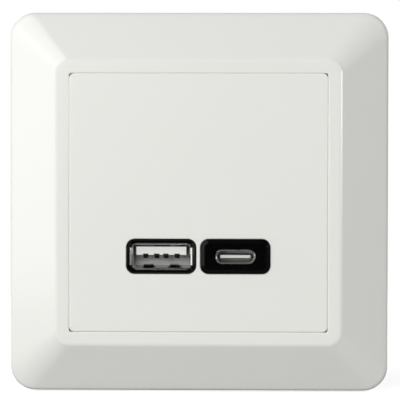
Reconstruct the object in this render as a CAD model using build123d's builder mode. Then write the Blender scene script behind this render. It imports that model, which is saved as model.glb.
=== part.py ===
from build123d import *
import os
from math import atan2, cos, degrees, hypot, pi, sin, tan

# A double USB charging socket for a round flush wall box, in millimetres.
# X runs to the right and Z up as seen from the room. Y runs into the wall.
# The origin is the centre of the frame on the wall's surface, so heights in front of the wall
# run along -Y and depths behind it along +Y.

# Surround frame
FRAME_SIZE = 85.0
FRAME_CORNER = 5.6
FRAME_WALL = 2.0
EDGE_HEIGHT = 3.0
EDGE_DRAFT = 0.2
EDGE_ROUND = 1.5
EDGE_ROUND_STEPS = 4
BEVEL_STEPS = 4
FACE_HEIGHT = 10.5
RIM_WIDTH = 2.88
RIDGE_CORNER = 3.2
CORNER_EASE = 0.22
RIDGE_ROUND = 1.5
HOLLOW_TOP_CORNER = 1.0
LEDGE_WIDTH = 1.75
LEDGE_THICK = 1.2
SKIRT_WALL = 1.4
RIB_WALL = 1.2
RIB_OFFSET = 15.0

# Centre plate, flush with the frame's rim
PLATE_SIZE = 57.0
PLATE_CORNER = 0.8
PLATE_THICK = 2.2
PLATE_GAP = 0.12
PLATE_EDGE_BREAK = 0.25
PLATE_RIB_WALL = 1.2
PLATE_RIB_DEPTH = 2.0
PLATE_RIB_CLEARANCE = 0.2
WINDOW_CLEARANCE = 0.1
SNAP_WIDTH = 6.0
SNAP_WALL = 1.4
SNAP_OFFSET = 10.0
SNAP_REACH = 5.6
SNAP_BARB = 0.9
SNAP_NOSE = 0.5
SNAP_LEAD = 1.6
SNAP_CLEARANCE = 0.2

# Support plate, screwed to the wall box
SUPPORT_SIZE = 71.0
SUPPORT_CORNER_CUT = 10.0
SUPPORT_THICK = 1.0
SUPPORT_CLEARANCE = 0.2
BOX_SCREW_SPACING = 60.0
BOX_SLOT_RADIUS = 2.1
BOX_SLOT_LENGTH = 7.0
BOX_SCREW_ROOM = 2.2

# Screws between the front housing and the support plate
EAR_SCREW_CLEARANCE = 0.3
EAR_WIDTH = 6.4
EAR_END = 3.2
EAR_CORNER_CUT = 1.4
EAR_THICK = 1.5
EAR_HOLE_RADIUS = 1.7
SCREW_RADIUS = 1.5
SCREW_HEAD_RADIUS = 2.5
SCREW_HEAD_HEIGHT = 2.0
SCREW_SLOT_WIDTH = 0.8
SCREW_SLOT_DEPTH = 1.0
THREAD_CLEARANCE = 0.05

# Housing shells
HOUSING_SIZE = 46.0
HOUSING_CORNER = 8.0
HOUSING_WALL = 1.6
HOUSING_FRONT_WALL = 1.8
HOUSING_FRONT_GAP = 0.2
HOUSING_DEPTH = 24.0
HOUSING_EDGE_CHAMFER = 1.0
SPLIT_DEPTH = 2.0
TAB_WALL = 1.2
TAB_ROOT = 2.5
TAB_WIDTH = 20.0
TAB_CLEARANCE = 0.1
CATCH_WIDTH = 6.0
CATCH_REACH = 0.8
CATCH_HEIGHT = 1.6
CATCH_SET = 0.7
CATCH_CLEARANCE = 0.2

# Ports and the blocks around them
PORT_SPACING = 16.4
PORT_DROP = 11.85
BLOCK_WIDTH = 15.35
BLOCK_HEIGHT = 7.6
BLOCK_CORNER = 1.8
BLOCK_A_PROUD = 0.15
BLOCK_C_PROUD = 0.6
BLOCK_A_BEVEL = 0.3
BLOCK_C_BEVEL = 0.85
BLOCK_BEVEL_HEIGHT = 0.5
SHEET_CLEARANCE = 0.12

# Left port: the flat four-contact receptacle
A_WIDTH = 13.1
A_HEIGHT = 5.72
A_SHEET = 0.3
A_CORNER = 0.7
A_SUNK = 0.25
A_LIP_HEIGHT = 0.8
A_LIP_FLARE_SIDE = 0.55
A_LIP_FLARE_TOP = 0.16
A_LIP_CORNER_GAP = 0.9
A_TONGUE_WIDTH = 11.1
A_TONGUE_THICK = 1.84
A_TONGUE_DROP = 0.45
A_TONGUE_SUNK = 1.1
A_BASE_HEIGHT = 2.3
A_CONTACT_PLACES = (-3.5, -1.0, 1.0, 3.5)
A_CONTACT_WIDTH = 1.0
A_CONTACT_THICK = 0.3
A_CONTACT_BOW = 0.35
A_CONTACT_CREST = 1.0
A_CONTACT_SUNK = 0.5
A_GROOVE_CLEARANCE = 0.1
A_SPRING_SPACING = 5.8
A_SPRING_WIDTH = 3.0
A_SPRING_LENGTH = 5.0
A_SPRING_SUNK = 1.2
A_SPRING_GAP = 0.4
A_SPRING_BEND = 0.35

# Right port: the small oval receptacle
C_WIDTH = 8.94
C_HEIGHT = 3.26
C_SHEET = 0.35
C_SUNK = 0.1
C_TONGUE_WIDTH = 6.69
C_TONGUE_THICK = 0.7
C_TONGUE_SUNK = 0.9
C_BASE_HEIGHT = 5.0
C_CONTACT_COUNT = 12
C_CONTACT_PITCH = 0.5
C_CONTACT_WIDTH = 0.25
C_CONTACT_THICK = 0.1
C_CONTACT_SUNK = 0.5
INSULATOR_CLEARANCE = 0.05

# Circuit boards
BOARD_THICK = 1.6
PORT_BOARD_DEPTH = 1.0
PORT_BOARD_CLEARANCE = 0.25
PORT_BOARD_RISE = 7.7
PORT_BOARD_CORNER_CUT = 3.0
MAIN_BOARD_DEPTH = 5.0
MAIN_BOARD_CLEARANCE = 0.4
MAIN_BOARD_CORNER_CUT = 4.0
POST_WIDTH = 2.4
PIN_WIDTH = 1.2
PIN_LENGTH = 1.9
PIN_CLEARANCE = 0.1
POST_INSET_X = 1.3
POST_INSET_Z = 4.2
PILLAR_WIDTH = 3.4
PILLAR_INSET = 3.8
HEADER_WIDTH = 20.0
HEADER_HEIGHT = 2.5
HEADER_RISE = 5.8
HEADER_PINS = 8
HEADER_PIN_WIDTH = 0.6
HEADER_BODY_GAP = 0.3

# Parts on the boards
CHIP_CHAMFER = 0.3
CHARGE_CHIP = (5.0, 5.0, 0.9)
CONTROLLER_CHIP = (4.9, 3.9, 1.5)
CONTROLLER_PLACE = (-5.0, 8.0)
BRIDGE_CHIP = (6.5, 5.0, 1.6)
BRIDGE_INSET = 9.0
BRIDGE_RISE = 5.0
OPTO_CHIP = (6.5, 4.6, 3.5)
OPTO_OFFSET = 3.0
OPTO_INSET = 5.5
CORE_PLACE = (0.0, -4.0)
CORE_WIDTH = 16.0
CORE_CLEARANCE = 0.8
CORE_THICK = 5.0
CORE_LEG = 4.6
CORE_SIDE_LEG = 2.2
CORE_YOKE = 2.4
CORE_STANDOFF = 1.0
BOBBIN_WALL = 0.8
BOBBIN_HEIGHT = 12.5
BOBBIN_CLEARANCE = 0.15
BOBBIN_RAIL = 3.0
WINDING_MARGIN = 0.5
WINDING_CORNER = 2.0
CAN_INSET = 5.5
INPUT_CAN = (4.0, 13.0)
INPUT_CAN_RISES = (4.0, -7.0)
OUTPUT_CAN = (4.0, 11.0)
OUTPUT_CAN_CLEARANCE = 0.5
SAFETY_BOX = (5.0, 12.0, 9.5)
SAFETY_RISE = 2.0
FUSE_BOX = (8.0, 4.0, 8.0)
FUSE_PLACE = (-4.0, 7.0)
BOX_EDGE_CHAMFER = 0.5
INDUCTOR_BOX = (6.4, 6.0, 7.0)
INDUCTOR_PLACE = (4.4, 6.0)

# Mains terminals
POLE_SPACING = 12.0
TERMINAL_MARGIN = 7.0
TERMINAL_HEIGHT = 11.5
NOTCH_CLEARANCE = 0.1
CHAMBER_FLOOR = 1.0
CHAMBER_ROOF = 2.0
CHAMBER_CLEARANCE = 0.3
CLAMP_WIDTH = 6.2
CLAMP_HEIGHT = 6.0
CLAMP_SIDE = 0.9
CLAMP_JAW = 1.0
CLAMP_NUT = 1.5
CLAMP_TRAVEL = 2.5
BAR_THICK = 1.2
BAR_CLEARANCE = 0.2
LEG_CLEARANCE = 0.4
CLAMP_CLOSED_GAP = 0.5
WIRE_ENTRY_RADIUS = 1.6
JAW_CLEARANCE = 1.2
HEAD_SUNK = 1.0
HEAD_CLEARANCE = 0.3
HEAD_SEAT_GAP = 0.1
SHOULDER_THICK = 1.8
SHANK_CLEARANCE = 0.25
TIP_CLEARANCE = 0.1

# Sizes that follow from the ones above
opening_size = PLATE_SIZE + 2 * PLATE_GAP
ledge_size = opening_size - 2 * LEDGE_WIDTH
ridge_size = opening_size + 2 * RIM_WIDTH
ledge_height = FACE_HEIGHT - PLATE_THICK
back_height = SUPPORT_THICK + BOX_SCREW_ROOM
housing_front = ledge_height - HOUSING_FRONT_GAP
housing_ceiling = housing_front - HOUSING_FRONT_WALL
housing_inner = HOUSING_SIZE - 2 * HOUSING_WALL
housing_inner_corner = HOUSING_CORNER - HOUSING_WALL
tab_reach = housing_inner / 2 - TAB_CLEARANCE
catch_depth = SPLIT_DEPTH + CATCH_SET
corner_centre = HOUSING_SIZE / 2 - HOUSING_CORNER
ear_screw_reach = HOUSING_CORNER + EAR_SCREW_CLEARANCE + SCREW_HEAD_RADIUS
ear_place = corner_centre + ear_screw_reach * cos(pi / 4)
ear_root = HOUSING_CORNER - HOUSING_WALL / 2
ear_length = ear_screw_reach + EAR_END - ear_root
ear_middle = corner_centre + (ear_root + ear_length / 2) * cos(pi / 4)
port_a_x = -PORT_SPACING / 2
port_c_x = PORT_SPACING / 2
port_z = -PORT_DROP
block_a_top = FACE_HEIGHT + BLOCK_A_PROUD
block_c_top = FACE_HEIGHT + BLOCK_C_PROUD
shell_a_top = block_a_top - A_SUNK
shell_base = -PORT_BOARD_DEPTH
port_board_rear = PORT_BOARD_DEPTH + BOARD_THICK
port_board_width = 2 * (tab_reach - TAB_WALL - PORT_BOARD_CLEARANCE)
port_board_height = port_z + PORT_BOARD_RISE + port_board_width / 2
port_board_z = port_z + PORT_BOARD_RISE - port_board_height / 2
main_board_rear = MAIN_BOARD_DEPTH + BOARD_THICK
main_board_size = housing_inner - 2 * MAIN_BOARD_CLEARANCE
board_reach = main_board_size / 2
can_reach = board_reach - CAN_INSET
pillar_reach = board_reach - PILLAR_INSET
rear_wall_inside = HOUSING_DEPTH - HOUSING_WALL
snap_inner = HOUSING_SIZE / 2 + SNAP_CLEARANCE
snap_tip = ledge_height - SNAP_REACH
snap_catch = snap_tip + SNAP_LEAD
terminal_top = HOUSING_SIZE / 2
terminal_bottom = terminal_top - TERMINAL_HEIGHT
terminal_width = POLE_SPACING + 2 * TERMINAL_MARGIN
chamber_bottom = terminal_bottom + CHAMBER_FLOOR
chamber_top = terminal_top - CHAMBER_ROOF
chamber_width = CLAMP_WIDTH + 2 * CHAMBER_CLEARANCE
head_top = HOUSING_DEPTH - HEAD_SUNK
head_seat = head_top - SCREW_HEAD_HEIGHT
shoulder_face = head_seat - HEAD_SEAT_GAP
chamber_end = shoulder_face - SHOULDER_THICK
jaw_front = main_board_rear + JAW_CLEARANCE
jaw_rear = jaw_front + CLAMP_JAW
bar_front = jaw_rear + CLAMP_TRAVEL + CLAMP_CLOSED_GAP
bar_rear = bar_front + BAR_THICK
clamp_nut_front = bar_rear + BAR_CLEARANCE
clamp_nut_rear = clamp_nut_front + CLAMP_NUT
wire_depth = (jaw_rear + bar_front) / 2
bar_width = CLAMP_WIDTH - 2 * CLAMP_SIDE - 2 * BAR_CLEARANCE
leg_top = chamber_bottom + BAR_THICK
clamp_bottom = leg_top + LEG_CLEARANCE
clamp_middle = clamp_bottom + CLAMP_HEIGHT / 2


def front(height):
    """Give the plane at a height in front of the wall, seen from the room."""
    return Plane.XZ.offset(height)


def behind(depth):
    """Give the plane at a depth behind the wall's surface, seen from the room."""
    return Plane.XZ.offset(-depth)


# Two ears on a diagonal, four posts to each board, and pins on two of the port board's
ear_places = [(-ear_place, ear_place), (ear_place, -ear_place)]
post_reach_x = port_board_width / 2 - POST_INSET_X
post_reach_z = port_board_height / 2 - POST_INSET_Z
post_places = [(x * post_reach_x, port_board_z + z * post_reach_z) for x in (-1, 1) for z in (-1, 1)]
port_pin_places = [post_places[0], post_places[-1]]
pillar_places = [(x * pillar_reach, z * pillar_reach) for x in (-1, 1) for z in (-1, 1)]


# The bevel's skin is one wall thick, measured square to the bevel
bevel_run = (FRAME_SIZE - ridge_size) / 2 - EDGE_DRAFT
bevel_rise = FACE_HEIGHT - EDGE_HEIGHT
bevel_slope = bevel_run / bevel_rise
bevel_shift = FRAME_WALL * hypot(bevel_run, bevel_rise) / bevel_rise
hollow_knee = EDGE_HEIGHT - (bevel_shift + EDGE_DRAFT - FRAME_WALL) / bevel_slope
hollow_rise = FACE_HEIGHT - FRAME_WALL - hollow_knee
hollow_size = FRAME_SIZE - 2 * FRAME_WALL
hollow_corner = hollow_rise * bevel_slope + HOLLOW_TOP_CORNER
skirt_size = opening_size + 2 * SKIRT_WALL


# Sections of the outside: the wall face, the arc that rounds the outer edge, and the bevel up to
# the ridge. The arc is tangent to the drafted edge and to the bevel, at angles from the frame's plane.
draft_angle = atan2(EDGE_DRAFT, EDGE_HEIGHT)
bevel_angle = atan2(bevel_run, bevel_rise)
edge_turn = bevel_angle - draft_angle
edge_setback = EDGE_ROUND * tan(edge_turn / 2)
arc_height = EDGE_HEIGHT - edge_setback * cos(draft_angle) - EDGE_ROUND * sin(draft_angle)
edge_reach = FRAME_SIZE / 2 - EDGE_DRAFT
arc_reach = edge_reach + edge_setback * sin(draft_angle) - EDGE_ROUND * cos(draft_angle)
frame_sections = [(0, FRAME_SIZE, FRAME_CORNER)]
for step in range(EDGE_ROUND_STEPS + 1):
    angle = draft_angle + edge_turn * step / EDGE_ROUND_STEPS
    height = arc_height + EDGE_ROUND * sin(angle)
    reach = arc_reach + EDGE_ROUND * cos(angle)
    corner = FRAME_CORNER - CORNER_EASE * (FRAME_SIZE / 2 - reach)
    frame_sections.append((height, 2 * reach, corner))
bevel_foot = frame_sections[-1]
ridge = (FACE_HEIGHT, ridge_size, RIDGE_CORNER)
for step in range(1, BEVEL_STEPS + 1):
    share = step / BEVEL_STEPS
    frame_sections.append(tuple(low + share * (high - low) for low, high in zip(bevel_foot, ridge)))

# Room behind the bevel, with the skirt and the ribs left standing in it
with BuildPart() as frame_hollow:
    for base, rise, taper in (
        (0, hollow_knee, 0),
        (hollow_knee, hollow_rise, degrees(atan2(bevel_run, bevel_rise))),
    ):
        with BuildSketch(front(base)):
            RectangleRounded(hollow_size, hollow_size, hollow_corner)
        extrude(amount=rise, taper=taper)
    with BuildSketch(front(back_height)):
        Rectangle(skirt_size, skirt_size)
        with GridLocations(2 * RIB_OFFSET, 0, 2, 1):
            Rectangle(RIB_WALL, FRAME_SIZE)
        with GridLocations(0, 2 * RIB_OFFSET, 1, 2):
            Rectangle(FRAME_SIZE, RIB_WALL)
    extrude(amount=FACE_HEIGHT, mode=Mode.SUBTRACT)

# Bevelled frame: rounded squares lofted with straight rulings, then hollowed and opened
with BuildPart() as surround_frame:
    for height, size, corner in frame_sections:
        with BuildSketch(front(height)):
            RectangleRounded(size, size, corner)
    loft(ruled=True)
    fillet(surround_frame.faces().sort_by(Axis.Y)[0].outer_wire().edges(), RIDGE_ROUND)
    add(frame_hollow.part, mode=Mode.SUBTRACT)
    with BuildSketch(front(ledge_height)):
        RectangleRounded(opening_size, opening_size, PLATE_CORNER + PLATE_GAP)
    extrude(amount=PLATE_THICK, mode=Mode.SUBTRACT)
    opening_edges = surround_frame.faces().sort_by(Axis.Y)[0].inner_wires()[0].edges()
    chamfer(opening_edges, PLATE_EDGE_BREAK)
    with BuildSketch(front(0)):
        Rectangle(ledge_size, ledge_size)
    extrude(amount=FACE_HEIGHT, mode=Mode.SUBTRACT)
    with BuildSketch(front(0)):
        Rectangle(opening_size, opening_size)
    extrude(amount=ledge_height - LEDGE_THICK, mode=Mode.SUBTRACT)

# Flush cover with a stiffening rib and four arms that snap into the front housing
with BuildPart() as centre_plate:
    with BuildSketch(front(ledge_height)):
        RectangleRounded(PLATE_SIZE, PLATE_SIZE, PLATE_CORNER)
        with Locations((port_a_x, port_z), (port_c_x, port_z)):
            RectangleRounded(BLOCK_WIDTH + 2 * WINDOW_CLEARANCE, BLOCK_HEIGHT + 2 * WINDOW_CLEARANCE,
                             BLOCK_CORNER + WINDOW_CLEARANCE, mode=Mode.SUBTRACT)
    extrude(amount=PLATE_THICK)
    chamfer(centre_plate.faces().sort_by(Axis.Y)[0].outer_wire().edges(), PLATE_EDGE_BREAK)
    with BuildSketch(front(ledge_height)):
        rib_outer = ledge_size - 2 * PLATE_RIB_CLEARANCE
        rib_inner = rib_outer - 2 * PLATE_RIB_WALL
        Rectangle(rib_outer, rib_outer)
        Rectangle(rib_inner, rib_inner, mode=Mode.SUBTRACT)
    extrude(amount=-PLATE_RIB_DEPTH)
    for side in (-1, 1):
        for place_z in (-SNAP_OFFSET, SNAP_OFFSET):
            with BuildSketch(Plane.XY.offset(place_z)):
                with BuildLine():
                    Polyline(
                        (side * snap_inner, -ledge_height),
                        (side * (snap_inner + SNAP_WALL), -ledge_height),
                        (side * (snap_inner + SNAP_WALL), -snap_tip),
                        (side * (snap_inner + SNAP_NOSE), -snap_tip),
                        (side * (snap_inner - SNAP_BARB), -snap_catch + SNAP_NOSE),
                        (side * (snap_inner - SNAP_BARB), -snap_catch),
                        (side * snap_inner, -snap_catch),
                        close=True,
                    )
                make_face()
            extrude(amount=SNAP_WIDTH / 2, both=True)

# Stamped plate that carries the housing on the wall box
with BuildPart() as support_plate:
    with BuildSketch(front(0)):
        Rectangle(SUPPORT_SIZE, SUPPORT_SIZE)
        chamfer(vertices(), SUPPORT_CORNER_CUT)
        cutout = HOUSING_SIZE + 2 * SUPPORT_CLEARANCE
        RectangleRounded(cutout, cutout, HOUSING_CORNER + SUPPORT_CLEARANCE, mode=Mode.SUBTRACT)
        with GridLocations(BOX_SCREW_SPACING, 0, 2, 1):
            SlotOverall(BOX_SLOT_LENGTH, 2 * BOX_SLOT_RADIUS, mode=Mode.SUBTRACT)
        with GridLocations(0, BOX_SCREW_SPACING, 1, 2):
            SlotOverall(BOX_SLOT_LENGTH, 2 * BOX_SLOT_RADIUS, rotation=90, mode=Mode.SUBTRACT)
        with Locations(*ear_places):
            Circle(SCREW_RADIUS + THREAD_CLEARANCE, mode=Mode.SUBTRACT)
    extrude(amount=SUPPORT_THICK)


def pan_screw(place_x, place_z, seat, tip, way):
    """Make a slotted pan-head screw along Y.

    The head's flat side is at the depth seat and the shank ends at the depth tip. The crown lies
    beyond the seat, towards the wall box where way is 1 and towards the room where it is -1.
    """
    crown = seat + way * SCREW_HEAD_HEIGHT
    centre = Plane(origin=(place_x, 0, place_z))
    with BuildPart() as made:
        with BuildSketch(centre):
            with BuildLine():
                Polyline(
                    (0, tip),
                    (SCREW_RADIUS, tip),
                    (SCREW_RADIUS, seat),
                    (SCREW_HEAD_RADIUS, seat),
                    (SCREW_HEAD_RADIUS, crown),
                    (0, crown),
                    close=True,
                )
            make_face()
        revolve(axis=Axis(centre.origin, (0, 1, 0)))
        with BuildSketch(behind(crown)):
            with Locations((place_x, place_z)):
                Rectangle(2 * SCREW_HEAD_RADIUS, SCREW_SLOT_WIDTH)
        extrude(amount=way * SCREW_SLOT_DEPTH, mode=Mode.SUBTRACT)
    return made.part


# Two screws through the housing's ears into the support plate
with BuildPart() as plate_screws:
    for place_x, place_z in ear_places:
        add(pan_screw(place_x, place_z, -SUPPORT_THICK - EAR_THICK, 0, -1))

# Front shell: a tray with the two port blocks on its face and two tabs that enter the rear shell
lips_base = shell_a_top - A_LIP_HEIGHT
mouth_share = (A_LIP_HEIGHT + A_SUNK) / A_LIP_HEIGHT
passage_a = (A_WIDTH + 2 * SHEET_CLEARANCE, A_HEIGHT + 2 * SHEET_CLEARANCE)
mouth_a = (
    passage_a[0] + 2 * A_LIP_FLARE_SIDE * mouth_share,
    passage_a[1] + 2 * A_LIP_FLARE_TOP * mouth_share,
)
port_blocks = (
    (port_a_x, block_a_top, BLOCK_A_BEVEL),
    (port_c_x, block_c_top, BLOCK_C_BEVEL),
)

with BuildPart() as front_housing:
    with BuildSketch(behind(SPLIT_DEPTH)):
        RectangleRounded(HOUSING_SIZE, HOUSING_SIZE, HOUSING_CORNER)
    extrude(amount=SPLIT_DEPTH + housing_front)
    with BuildSketch(behind(SPLIT_DEPTH)):
        RectangleRounded(housing_inner, housing_inner, housing_inner_corner)
    extrude(amount=SPLIT_DEPTH + housing_ceiling, mode=Mode.SUBTRACT)
    # Tabs that enter the rear shell, press on the main board's edges and snap in at their catches
    for side in (-1, 1):
        with BuildSketch(Plane.XY):
            with BuildLine():
                Polyline(
                    (side * housing_inner / 2, SPLIT_DEPTH - TAB_ROOT),
                    (side * housing_inner / 2, SPLIT_DEPTH),
                    (side * tab_reach, SPLIT_DEPTH),
                    (side * tab_reach, MAIN_BOARD_DEPTH),
                    (side * (tab_reach - TAB_WALL), MAIN_BOARD_DEPTH),
                    (side * (tab_reach - TAB_WALL), SPLIT_DEPTH - TAB_ROOT),
                    close=True,
                )
            make_face()
        extrude(amount=TAB_WIDTH / 2, both=True)
        with BuildSketch(Plane.XY):
            with BuildLine():
                Polyline(
                    (side * tab_reach, catch_depth),
                    (side * (tab_reach + CATCH_REACH), catch_depth),
                    (side * tab_reach, catch_depth + CATCH_HEIGHT),
                    close=True,
                )
            make_face()
        extrude(amount=CATCH_WIDTH / 2, both=True)
    # Ears for the two screws, rooted in two corners of the wall
    with BuildSketch(front(SUPPORT_THICK)):
        with Locations((-ear_middle, ear_middle), (ear_middle, -ear_middle)):
            Rectangle(EAR_WIDTH, ear_length, rotation=45)
        ear_ends = vertices().sort_by(Axis((0, 0, 0), (1, -1, 0)))
        chamfer(ear_ends[:2] + ear_ends[-2:], EAR_CORNER_CUT)
        with Locations(*ear_places):
            Circle(EAR_HOLE_RADIUS, mode=Mode.SUBTRACT)
    extrude(amount=EAR_THICK)
    # Windows for the cover's snap arms
    with BuildSketch(front(snap_tip - SNAP_CLEARANCE)):
        with GridLocations(HOUSING_SIZE - HOUSING_WALL, 2 * SNAP_OFFSET, 2, 2):
            Rectangle(HOUSING_WALL, SNAP_WIDTH + 2 * SNAP_CLEARANCE)
    extrude(amount=SNAP_LEAD + 2 * SNAP_CLEARANCE, mode=Mode.SUBTRACT)
    # Posts and pins for the port board
    with BuildSketch(front(housing_ceiling)):
        with Locations(*post_places):
            Rectangle(POST_WIDTH, POST_WIDTH)
    extrude(amount=-housing_ceiling - PORT_BOARD_DEPTH)
    with BuildSketch(behind(PORT_BOARD_DEPTH)):
        with Locations(*port_pin_places):
            Rectangle(PIN_WIDTH, PIN_WIDTH)
    extrude(amount=-PIN_LENGTH)
    # Port blocks with bevelled tops
    for place_x, top, bevel in port_blocks:
        bevel_base = top - BLOCK_BEVEL_HEIGHT
        for base, rise, taper in (
            (housing_front, bevel_base - housing_front, 0),
            (bevel_base, BLOCK_BEVEL_HEIGHT, degrees(atan2(bevel, BLOCK_BEVEL_HEIGHT))),
        ):
            with BuildSketch(front(base)):
                with Locations((place_x, port_z)):
                    RectangleRounded(BLOCK_WIDTH, BLOCK_HEIGHT, BLOCK_CORNER)
            extrude(amount=rise, taper=taper)
    # Passages of the ports, the left one with a flared mouth
    with BuildSketch(front(housing_ceiling)):
        with Locations((port_a_x, port_z)):
            RectangleRounded(*passage_a, A_CORNER)
        with Locations((port_c_x, port_z)):
            SlotOverall(C_WIDTH + 2 * SHEET_CLEARANCE, C_HEIGHT + 2 * SHEET_CLEARANCE)
    extrude(amount=FACE_HEIGHT, mode=Mode.SUBTRACT)
    for height, size in ((lips_base, passage_a), (block_a_top, mouth_a)):
        with BuildSketch(front(height)):
            with Locations((port_a_x, port_z)):
                RectangleRounded(*size, A_CORNER)
    loft(ruled=True, mode=Mode.SUBTRACT)

# Rear shell, inside the wall box
with BuildPart() as rear_housing:
    with BuildSketch(behind(HOUSING_DEPTH)):
        RectangleRounded(HOUSING_SIZE, HOUSING_SIZE, HOUSING_CORNER)
    extrude(amount=HOUSING_DEPTH - SPLIT_DEPTH)
    chamfer(rear_housing.faces().sort_by(Axis.Y)[-1].edges(), HOUSING_EDGE_CHAMFER)
    with BuildSketch(behind(rear_wall_inside)):
        RectangleRounded(housing_inner, housing_inner, housing_inner_corner)
    extrude(amount=rear_wall_inside - SPLIT_DEPTH, mode=Mode.SUBTRACT)
    with BuildSketch(behind(rear_wall_inside)):
        with Locations(*pillar_places):
            Rectangle(PILLAR_WIDTH, PILLAR_WIDTH)
    extrude(amount=rear_wall_inside - main_board_rear)
    # Room for the terminal block
    with BuildSketch(behind(HOUSING_DEPTH)):
        notch_bottom = terminal_bottom - NOTCH_CLEARANCE
        with Locations((0, (notch_bottom + HOUSING_SIZE) / 2)):
            Rectangle(terminal_width + 2 * NOTCH_CLEARANCE, HOUSING_SIZE - notch_bottom)
    extrude(amount=HOUSING_DEPTH - main_board_rear + NOTCH_CLEARANCE, mode=Mode.SUBTRACT)
    # Windows for the front shell's catches
    with BuildSketch(behind(catch_depth + CATCH_HEIGHT + CATCH_CLEARANCE)):
        with GridLocations(HOUSING_SIZE - HOUSING_WALL, 0, 2, 1):
            Rectangle(HOUSING_WALL, CATCH_WIDTH + 2 * CATCH_CLEARANCE)
    extrude(amount=CATCH_HEIGHT + 2 * CATCH_CLEARANCE, mode=Mode.SUBTRACT)

# Left port's shell: a folded tube with spring fingers and a flared mouth
with BuildPart() as usb_a_shell:
    with BuildSketch(front(shell_base)):
        with Locations((port_a_x, port_z)):
            RectangleRounded(A_WIDTH, A_HEIGHT, A_CORNER)
        offset(amount=-A_SHEET, mode=Mode.SUBTRACT)
    extrude(amount=lips_base - shell_base)
    spring_front = lips_base - A_SPRING_SUNK
    spring_root = spring_front - A_SPRING_LENGTH
    with BuildSketch(front(spring_root)):
        with Locations((port_a_x, port_z)):
            with GridLocations(A_SPRING_SPACING, 0, 2, 1):
                Rectangle(A_SPRING_WIDTH, A_HEIGHT)
    extrude(amount=A_SPRING_LENGTH, mode=Mode.SUBTRACT)
    wall_out = A_HEIGHT / 2
    wall_in = wall_out - A_SHEET
    side_out = A_WIDTH / 2
    side_in = side_out - A_SHEET
    for side in (-1, 1):
        for place_x in (port_a_x - A_SPRING_SPACING / 2, port_a_x + A_SPRING_SPACING / 2):
            with BuildSketch(Plane.YZ.offset(place_x)):
                with BuildLine():
                    Polyline(
                        (-spring_root, port_z + side * wall_in),
                        (-spring_root, port_z + side * wall_out),
                        (-spring_front + A_SPRING_GAP, port_z + side * (wall_out - A_SPRING_BEND)),
                        (-spring_front + A_SPRING_GAP, port_z + side * (wall_in - A_SPRING_BEND)),
                        close=True,
                    )
                make_face()
            extrude(amount=A_SPRING_WIDTH / 2 - A_SPRING_GAP, both=True)
        with BuildSketch(Plane.YZ.offset(port_a_x)):
            with BuildLine():
                Polyline(
                    (-lips_base, port_z + side * wall_in),
                    (-lips_base, port_z + side * wall_out),
                    (-shell_a_top, port_z + side * (wall_out + A_LIP_FLARE_TOP)),
                    (-shell_a_top, port_z + side * (wall_in + A_LIP_FLARE_TOP)),
                    close=True,
                )
            make_face()
        extrude(amount=A_WIDTH / 2 - A_LIP_CORNER_GAP, both=True)
        with BuildSketch(Plane.XY.offset(port_z)):
            with BuildLine():
                Polyline(
                    (port_a_x + side * side_in, -lips_base),
                    (port_a_x + side * side_out, -lips_base),
                    (port_a_x + side * (side_out + A_LIP_FLARE_SIDE), -shell_a_top),
                    (port_a_x + side * (side_in + A_LIP_FLARE_SIDE), -shell_a_top),
                    close=True,
                )
            make_face()
        extrude(amount=A_HEIGHT / 2 - A_LIP_CORNER_GAP, both=True)

# Left port's insulator: a base and a tongue with four grooves under it
base_a_top = shell_base + A_BASE_HEIGHT
tongue_a_tip = shell_a_top - A_TONGUE_SUNK
tongue_a_top = port_z + A_HEIGHT / 2 - A_SHEET - A_TONGUE_DROP
groove_top = tongue_a_top - A_TONGUE_THICK + A_CONTACT_THICK

with BuildPart() as usb_a_insulator:
    with BuildSketch(front(shell_base)):
        with Locations((port_a_x, port_z)):
            inset = 2 * (A_SHEET + INSULATOR_CLEARANCE)
            RectangleRounded(A_WIDTH - inset, A_HEIGHT - inset, A_CORNER - A_SHEET)
    extrude(amount=A_BASE_HEIGHT)
    with BuildSketch(front(base_a_top)):
        with Locations((port_a_x, tongue_a_top - A_TONGUE_THICK / 2)):
            Rectangle(A_TONGUE_WIDTH, A_TONGUE_THICK)
        for offset_x in A_CONTACT_PLACES:
            with Locations((port_a_x + offset_x, groove_top - A_CONTACT_THICK / 2)):
                Rectangle(A_CONTACT_WIDTH + 2 * A_GROOVE_CLEARANCE, A_CONTACT_THICK, mode=Mode.SUBTRACT)
    extrude(amount=tongue_a_tip - base_a_top)

# Left port's contacts: strips in the grooves, each with a bowed crest near its end
with BuildPart() as usb_a_contacts:
    contact_tip = tongue_a_tip - A_CONTACT_SUNK
    contact_bottom = groove_top - A_CONTACT_THICK
    for offset_x in A_CONTACT_PLACES:
        with BuildSketch(Plane.YZ.offset(port_a_x + offset_x)):
            with BuildLine():
                Polyline(
                    (-base_a_top, groove_top),
                    (-contact_tip, groove_top),
                    (-contact_tip, contact_bottom),
                    (-contact_tip + A_CONTACT_CREST, contact_bottom - A_CONTACT_BOW),
                    (-contact_tip + 2 * A_CONTACT_CREST, contact_bottom - A_CONTACT_BOW),
                    (-contact_tip + 3 * A_CONTACT_CREST, contact_bottom),
                    (-base_a_top, contact_bottom),
                    close=True,
                )
            make_face()
        extrude(amount=A_CONTACT_WIDTH / 2, both=True)

# Right port's shell: a drawn oval tube
shell_c_top = block_c_top - C_SUNK
base_c_top = shell_base + C_BASE_HEIGHT
tongue_c_tip = shell_c_top - C_TONGUE_SUNK

with BuildPart() as usb_c_shell:
    with BuildSketch(front(shell_base)):
        with Locations((port_c_x, port_z)):
            SlotOverall(C_WIDTH, C_HEIGHT)
            SlotOverall(C_WIDTH - 2 * C_SHEET, C_HEIGHT - 2 * C_SHEET, mode=Mode.SUBTRACT)
    extrude(amount=shell_c_top - shell_base)

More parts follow.
